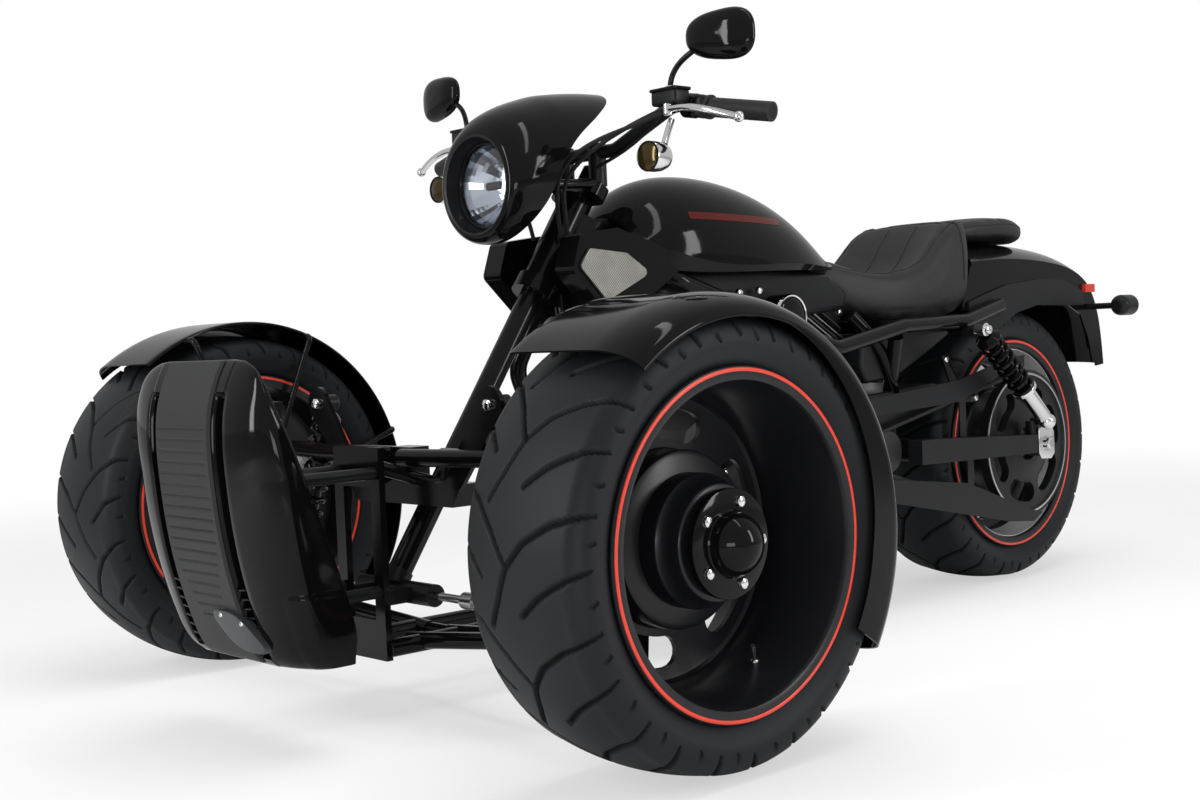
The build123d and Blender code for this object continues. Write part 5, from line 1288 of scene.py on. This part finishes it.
def shroud_place(u, v):
    """u runs once round the shell, v from its foot to its rounded top."""
    z = SHROUD_LOW + (SHROUD_HIGH - SHROUD_LOW) * min(1.0, max(0.0, (v - 0.02) / 0.96))
    size = min(1.0, min(v, 1 - v) / 0.02)
    rows = shroud_half_section(z)
    y, back = along_rows(rows, 1 - abs(2 * u - 1))
    side = 1 if u < 0.5 else -1
    middle = rows[-1][1] / 2
    return at(shroud_face(z) - middle - (back - middle) * size, side * y * size, z)


shell = skin("shroud_shell", 67, 121, shroud_place, black_paint, "chassis", soft_angle=50)
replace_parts(shell, "radiator_shroud")
print("shroud", len(shell.data.polygons), "faces")

# %% [markdown]
# ## Ribbed band, fins and cap
# The band lies over the shell's front and shares its curve, and its ribs are shallow grooves pushed
# into a fine grid. The fins stand in the channel beside it, and a small leaf covers the band's lower
# corner.

# %% Band, fins, cap and rivets
RIB_REACH = [(190, 0.30), (225, 0.46), (270, 0.64), (350, 0.85), (505, 0.86)]
RIB_LOW, RIB_HIGH, RIB_PITCH = 196, 509, 17.2
BAND_LOW, BAND_HIGH = 138, 603


def band_place(u, v):
    """The ribbed band over the shell's front: u across it, v from its foot over the top."""
    y = 2 * BAND_HALF * (u - 0.5)
    z = BAND_LOW + (BAND_HIGH - BAND_LOW) * min(1.0, v / 0.97)
    proud = 4.6 * rounded_rise((BAND_HALF - abs(y)) / 5) + 0.2
    if RIB_LOW < z < RIB_HIGH and abs(y) < BAND_HALF * curve_through(RIB_REACH, z):
        turn = ((z - 200) / RIB_PITCH) % 1
        proud -= 2.6 * max(0.0, 1 - abs(turn - 0.5) / 0.17)
    over = max(0.0, (v - 0.97) / 0.03)
    return at(shroud_face(z) + proud - 14 * over, y, z + 0.8)


band = skin("shroud_band", 41, 281, band_place, ribbed_plastic, "chassis", wall=2.0, soft_angle=30)
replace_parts(band, "radiator_band")
FIN_LOW, FIN_PITCH, FIN_Y = 168, 15, 98.5
FIN_SIZE = (22, 25, 3.6)
fins = []
for side in (1, -1):
    for z in range(FIN_LOW, FIN_LOW + 7 * FIN_PITCH, FIN_PITCH):
        place = at(shroud_face(z) - 13, side * FIN_Y, z)
        fins.append(rounded_box("fin", place, FIN_SIZE, 1.2, black_paint, "chassis",
                                turn=(math.radians(side * 6), 0, 0)))
join("shroud_fins", fins)
CAP_Y, CAP_Z, CAP_HALF, CAP_TALL, CAP_SLANT = 68, 190, 46, 32, 0.85
CAP_SIZES = [(0, 1.0), (0.15, 1.0), (0.35, 0.93), (1, 0.0)]
CAP_LIFTS = [(0, -6), (0.12, 7.5), (0.3, 11), (1, 12.5)]


def cap_place(u, v):
    """A rounded, slanted leaf over the band's lower corner: u round its outline, v from the hem inwards."""
    turn = 2 * math.pi * u
    size = curve_through(CAP_SIZES, v)
    rise = CAP_TALL * blunted(math.sin(turn), 0.7) * size
    y = CAP_Y + CAP_HALF * blunted(math.cos(turn), 0.7) * size - CAP_SLANT * rise
    z = CAP_Z + rise
    out = max(0.0, (y - BAND_HALF) / (shroud_column(z, 3) - BAND_HALF))
    bend = 52 * (1 - math.sqrt(max(0.0, 1 - out ** 2)))
    return at(shroud_face(z) - bend + curve_through(CAP_LIFTS, v), y, z)


cap = skin("shroud_cap", 49, 13, cap_place, cap_plastic, "chassis", soft_angle=40)
rivets = []
for y, z in ((36, 192), (104, 186)):
    spot = cap.closest_point_on_mesh(at(500, y, z))[1]
    rivets.append(bolt(spot - Vector((0.001, 0, 0)), (1, 0, 0.15), chrome, "chassis", 4.2, 3.2))
join("shroud_rivets", rivets)
print("band", len(band.data.polygons), "faces,", len(fins), "fins")

# %% [markdown]
# ## Fairing
# The real fairing is one thin moulded cowl: an oval ring round the lamp that widens backward and ends
# in a raked edge with a rounded crown. Each line of the grid runs from the front ring to the point
# where it meets that edge.

# %% Cowl and its front ring
FAIRING_RINGS = [
    # place, middle height, half width, half height
    (-158, 893, 88, 87), (-160, 894, 97, 96), (-168, 897, 106, 106), (-184, 903, 114, 115),
    (-216, 913, 119, 122), (-260, 921, 121, 129), (-300, 926, 122, 134), (-390, 930, 125, 140),
    (-480, 931, 127, 141),
]
FAIRING_EDGE = [
    # height, place of the raked edge
    (780, -196), (858, -236), (923, -264), (971, -305), (1022, -380), (1046, -418), (1060, -434),
    (1080, -446),
]
FAIRING_FRONT, FAIRING_BACK = FAIRING_RINGS[0][0], FAIRING_RINGS[-1][0]
BEZEL = [(85, -1), (88.5, 0.5), (91, -3), (88, -9), (82, -30), (77, -32), (78, -26), (83, -7)]


def fairing_point(x, turn):
    middle, half, tall = columns(FAIRING_RINGS, x, (1, 2, 3))
    return x, half * math.cos(turn), middle + tall * math.sin(turn)


def fairing_place(u, v):
    """u runs round the cowl, v from its front ring to its edge, which is found by halving."""
    turn = 2 * math.pi * u
    low, high = FAIRING_BACK, FAIRING_FRONT
    for halving in range(26):
        x = (low + high) / 2
        if x < curve_through(FAIRING_EDGE, fairing_point(x, turn)[2]):
            low = x
        else:
            high = x
    return at(*fairing_point(FAIRING_FRONT + (high - FAIRING_FRONT) * v ** 1.8, turn))


cowl = skin("fairing_cowl", 97, 49, fairing_place, black_paint, "steering", wall=3.2, soft_angle=60)
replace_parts(cowl, "fairing")
lathe("fairing_ring", BEZEL, at(FAIRING_FRONT, 0, LAMP_Z), satin_black, "steering", steps=96, closed=True,
      axis=FORWARD)
print("fairing", len(cowl.data.polygons), "faces")

# %% [markdown]
# ## Engine dressing
# Between the tank and the wheel the real engine shows heads with bright fin edges, a dark round horn
# cover, a black air box under the tank and a satin box behind. Each box is a block extruded from its
# own outline, with its edges rounded.


# %% Air box, battery box and side panel
def plate(name, outline, y_low, y_high, bevel, material, body):
    """A prism from an outline in the side view, with its edges rounded."""
    piece = prism(name, [at(x, y_low, z) for x, z in outline], (y_high - y_low) / 1000)
    modify(piece, "BEVEL", width=bevel / 1000, segments=4, limit_method="ANGLE")
    return settle(piece, material, body, 35)


AIR_BOX = [(-505, 700), (-560, 735), (-800, 738), (-1010, 730), (-1075, 690), (-1060, 650), (-900, 640),
           (-640, 640), (-540, 655)]
BATTERY_BOX = [(-1060, 462), (-1085, 468), (-1330, 484), (-1352, 476), (-1290, 425), (-1250, 402),
               (-1080, 390), (-1062, 400)]
SIDE_PANEL = [(-1085, 596), (-1165, 598), (-1395, 604), (-1405, 590), (-1340, 560), (-1200, 500),
              (-1100, 492), (-1078, 530)]
plate("air_box", AIR_BOX, -98, 98, 14, satin_black, "chassis")
plate("battery_box", BATTERY_BOX, -128, 128, 8, satin_black, "chassis")
plate("side_panel", SIDE_PANEL, -120, 120, 12, satin_black, "chassis")
print("boxes and side panel made")

# %% [markdown]
# ## Fins and heads
# Each cylinder leans 30 degrees. Its bright fin edges are thin plates stacked along that line, and a
# rounded cover with four bolts closes the head.

# %% Fin edges and head covers
LEAN = math.radians(30)
CRANK = Vector((-830, 0, 330))
FIN_START, FIN_STEP, FIN_COUNT = 178, 17, 11
HEAD_AT, HEAD_BOLT_SHIFT, HEAD_HALF = 392, 46, 74
fin_edges = []
head_covers = []
for lean in (1, -1):
    along = Vector((lean * math.sin(LEAN), 0, math.cos(LEAN)))
    sideways = Vector((math.cos(LEAN), 0, -lean * math.sin(LEAN)))
    turn = (0, lean * LEAN, 0)
    for number in range(FIN_COUNT):
        spot = at(*(CRANK + along * (FIN_START + FIN_STEP * number)))
        fin_edges.append(rounded_box("fin_edge", spot, (159, 160, 2.6), 1.0, alloy, "chassis", turn=turn))
    head = CRANK + along * HEAD_AT
    cover = rounded_box("head_cover", at(*head), (132, 148, 46), 12, satin_black, "chassis", turn=turn)
    head_covers.append(cover)
    for side in (1, -1):
        for shift in (-HEAD_BOLT_SHIFT, HEAD_BOLT_SHIFT):
            place = head + sideways * shift
            foot = at(place.x, side * HEAD_HALF, place.z)
            head_covers.append(bolt(foot, (0, side, 0), chrome, "chassis", 7, 7))
join("fin_edges", fin_edges)
join("head_covers", head_covers)
print("fin edges", 2 * FIN_COUNT)

# %% [markdown]
# ## Horn, hoses and case covers
# These small turned and bent parts fill the gaps round the engine. Each hose is a tube along a few
# given points, and each round case cover is spun and ringed with six bolts.

# %% Horn, fittings, hoses and covers
HORN = at(-838, 118, 640)
HORN_COVER = [(0, 26), (30, 26), (40, 23), (45, 17), (46, 8), (46, -26), (40, -30), (0, -30)]
HORN_RING = [(41, 24), (43.5, 25), (46.5, 20), (45, 19)]
lathe("horn_cover", HORN_COVER, HORN, black_paint, "chassis", steps=56)
lathe("horn_ring", HORN_RING, HORN, chrome, "chassis", steps=56, closed=True)
FITTINGS = [
    # x, y, z, radius
    (-712, 112, 690, 9), (-745, 116, 672, 7), (-770, 112, 694, 8), (-905, 112, 596, 8), (-948, 110, 566, 7),
]
join("chrome_fittings", [bolt(at(x, y, z), OUTWARD, chrome, "chassis", size, 9)
                         for x, y, z, size in FITTINGS])
HOSES = [
    # name, radius, material, route on the left
    ("coolant_hose_", 15, belt_rubber,
     [(-560, 92, 660), (-610, 112, 640), (-650, 118, 590), (-668, 112, 520), (-640, 96, 450)]),
    ("rear_hose_", 14, black_paint,
     [(-1075, 100, 640), (-1120, 122, 590), (-1160, 128, 530), (-1190, 118, 470)]),
]
SIDES = ((1, "left"), (-1, "right"))
for side, mark in SIDES:
    for name, radius, material, points in HOSES:
        tube(name + mark, route(*[(x, side * y, z) for x, y, z in points]), radius, material, "chassis")
CASE_COVER = [(0, 8), (52, 8), (60, 5), (64, 0), (78, 0), (86, -2), (91, -6), (91.5, -12)]
CASE_Y, CASE_Z, CASE_BOLT_R = 131, 310, 71
for x in (-900.0, -697.6):
    for side, mark in SIDES:
        out = (0, side, 0)
        lathe("case_cover_%d_%s" % (-x, mark), CASE_COVER, at(x, side * CASE_Y, CASE_Z), black_paint,
              "chassis", steps=72, axis=out)
        spots = [on_circle(x, side * CASE_Y, CASE_Z, CASE_BOLT_R, math.radians(angle))
                 for angle in range(30, 390, 60)]
        join("case_bolts_%d_%s" % (-x, mark), [bolt(spot, out, chrome, "chassis", 4.5, 4) for spot in spots])
print("engine dressed")

# %% [markdown]
# ## Tank stripe and cables
# A plain dark red bar lies on the tank's flank, pressed onto its surface point by point. The cables run
# from the controls round the front of the column, where the cowl hides their ends.


# %% Stripe on the tank, cables behind the cowl
def stripe_place(u, v):
    """A point of the stripe, dropped onto the tank."""
    spot = at(-566 - 262 * u, 160, 838 - 9 * u + 14 * (v - 0.5))
    hit, normal = nodes["tank_cover"].ray_cast(spot + Vector((0, 0.1, 0)), Vector((0, -1, 0)))[1:3]
    return hit + normal * 0.0006


tank_stripe = skin("tank_stripe_left", 61, 5, stripe_place, dark_red, "chassis", soft_angle=60)
mirrored(tank_stripe, "tank_stripe_right", "chassis")
CABLES = [
    [(-372, 262, 1000), (-350, 225, 985), (-300, 150, 958), (-282, 90, 920), (-300, 52, 860),
     (-322, 40, 800)],
    [(-392, 258, 1012), (-372, 215, 998), (-322, 130, 950), (-305, 70, 900), (-322, 52, 840),
     (-336, 44, 790)],
    [(-380, -262, 1002), (-356, -222, 985), (-308, -140, 955), (-290, -70, 915), (-300, -30, 858),
     (-320, -36, 800)],
]
join("control_cables", [tube("cable", route(*points), 4.0, belt_rubber, "steering") for points in CABLES])
print("cables", len(CABLES))

# %% [markdown]
# ## Rear end
# The pulley is a slotted satin disc with a bright edge, the rim's barrel behind it is light grey, a
# painted reflection on its black polished wall, and the axle ends in a chrome plate with its nut. The peg
# bracket is a small triangle of plate with two bolts.

# %% Pulley, barrel with painted reflection, axle plates and brackets
PULLEY = [(40, 123.5), (160, 123.5), (165, 124), (165, 148.5), (160, 148.5), (157, 144), (80, 144),
          (70, 148), (40, 148.5)]
PULLEY_EDGE = [(160.5, 148.7), (162, 149), (165.2, 148.6), (165.4, 146), (163, 146)]
BARREL = [(221.2, 103), (220.6, 96), (213, 58), (210.5, 46), (211.2, 45.5), (214, 57), (221.6, 95),
          (222.2, 103)]
AXLE_PLATE = [(-1630, 362), (-1684, 366), (-1694, 350), (-1694, 300), (-1680, 288), (-1640, 290),
              (-1630, 304)]
AXLE_NUT = [(0, 16), (11, 16), (14, 12), (14, 2), (20, 2), (20, 0), (0, 0)]
PEG_BRACKET = [(-1318, 542), (-1338, 548), (-1392, 470), (-1452, 452), (-1452, 434), (-1384, 436),
               (-1362, 448)]
PLATE_IN, PLATE_OUT, BRACKET_IN, BRACKET_OUT = 193.8, 198, 150, 157
slotted("pulley_disc", PULLEY, rear_centre, satin_black, "wheel_rear", "pulley_rear", 144, 134, 20,
        ring_r=116.0, half_turn=14.0)
lathe("pulley_edge", PULLEY_EDGE, rear_centre, steel, "wheel_rear", steps=144, closed=True)
for side, mark in SIDES:
    out = (0, side, 0)
    # The barrel is coloured light grey as a painted reflection.
    lathe("rear_barrel_" + mark, BARREL, rear_centre, barrel_painted_reflection, "wheel_rear", steps=160, closed=True,
          axis=out)
    plate("axle_plate_" + mark, AXLE_PLATE, side * PLATE_IN, side * PLATE_OUT, 1.2, chrome, "chassis")
    lathe("axle_nut_" + mark, AXLE_NUT, at(-WHEELBASE, side * (PLATE_OUT - 1), TYRE_R), chrome, "chassis",
          steps=6, soft_angle=20, axis=out)
    plate("peg_bracket_" + mark, PEG_BRACKET, side * BRACKET_IN, side * BRACKET_OUT, 2, frame_black,
          "chassis")
    join("peg_bolts_" + mark, [bolt(at(x, side * BRACKET_OUT, z), out, chrome, "chassis", 7, 5)
                               for x, z in ((-1330, 534), (-1438, 443))])
print("rear end dressed")

# %% [markdown]
# ## CAD pieces that keep their shape
# Tubes, arms, knuckles and the block are already right from the frame, and need only their finish.

# %% Finishes for the carried-over nodes
FINISH_OF = {
    frame_black: ["frame_head", "frame_rails", "frame_cradle", "front_subframe", "upper_arms", "lower_arms",
                  "steering_column"],
    satin_black: ["steering_rack", "knuckle_left", "knuckle_right", "handlebar", "exhaust", "swingarm",
                  "belt_guards", "plate_bracket", "signals_rear", "foot_pegs", "radiator", "fender_struts"],
    wrinkle_black: ["engine_block", "cylinders"],
    black_paint: ["tank_cover", "rear_fender"],
    steel: ["tie_rods", "brake_disc_rear"],
    belt_rubber: ["belt"],
    grip_rubber: ["grips"],
    red_lens: ["side_markers"],
    silver_mesh: ["side_screens"],
}
for material, names in FINISH_OF.items():
    for name in names:
        paint_with(nodes[name], material)
print("finished nodes", sum(len(names) for names in FINISH_OF.values()))
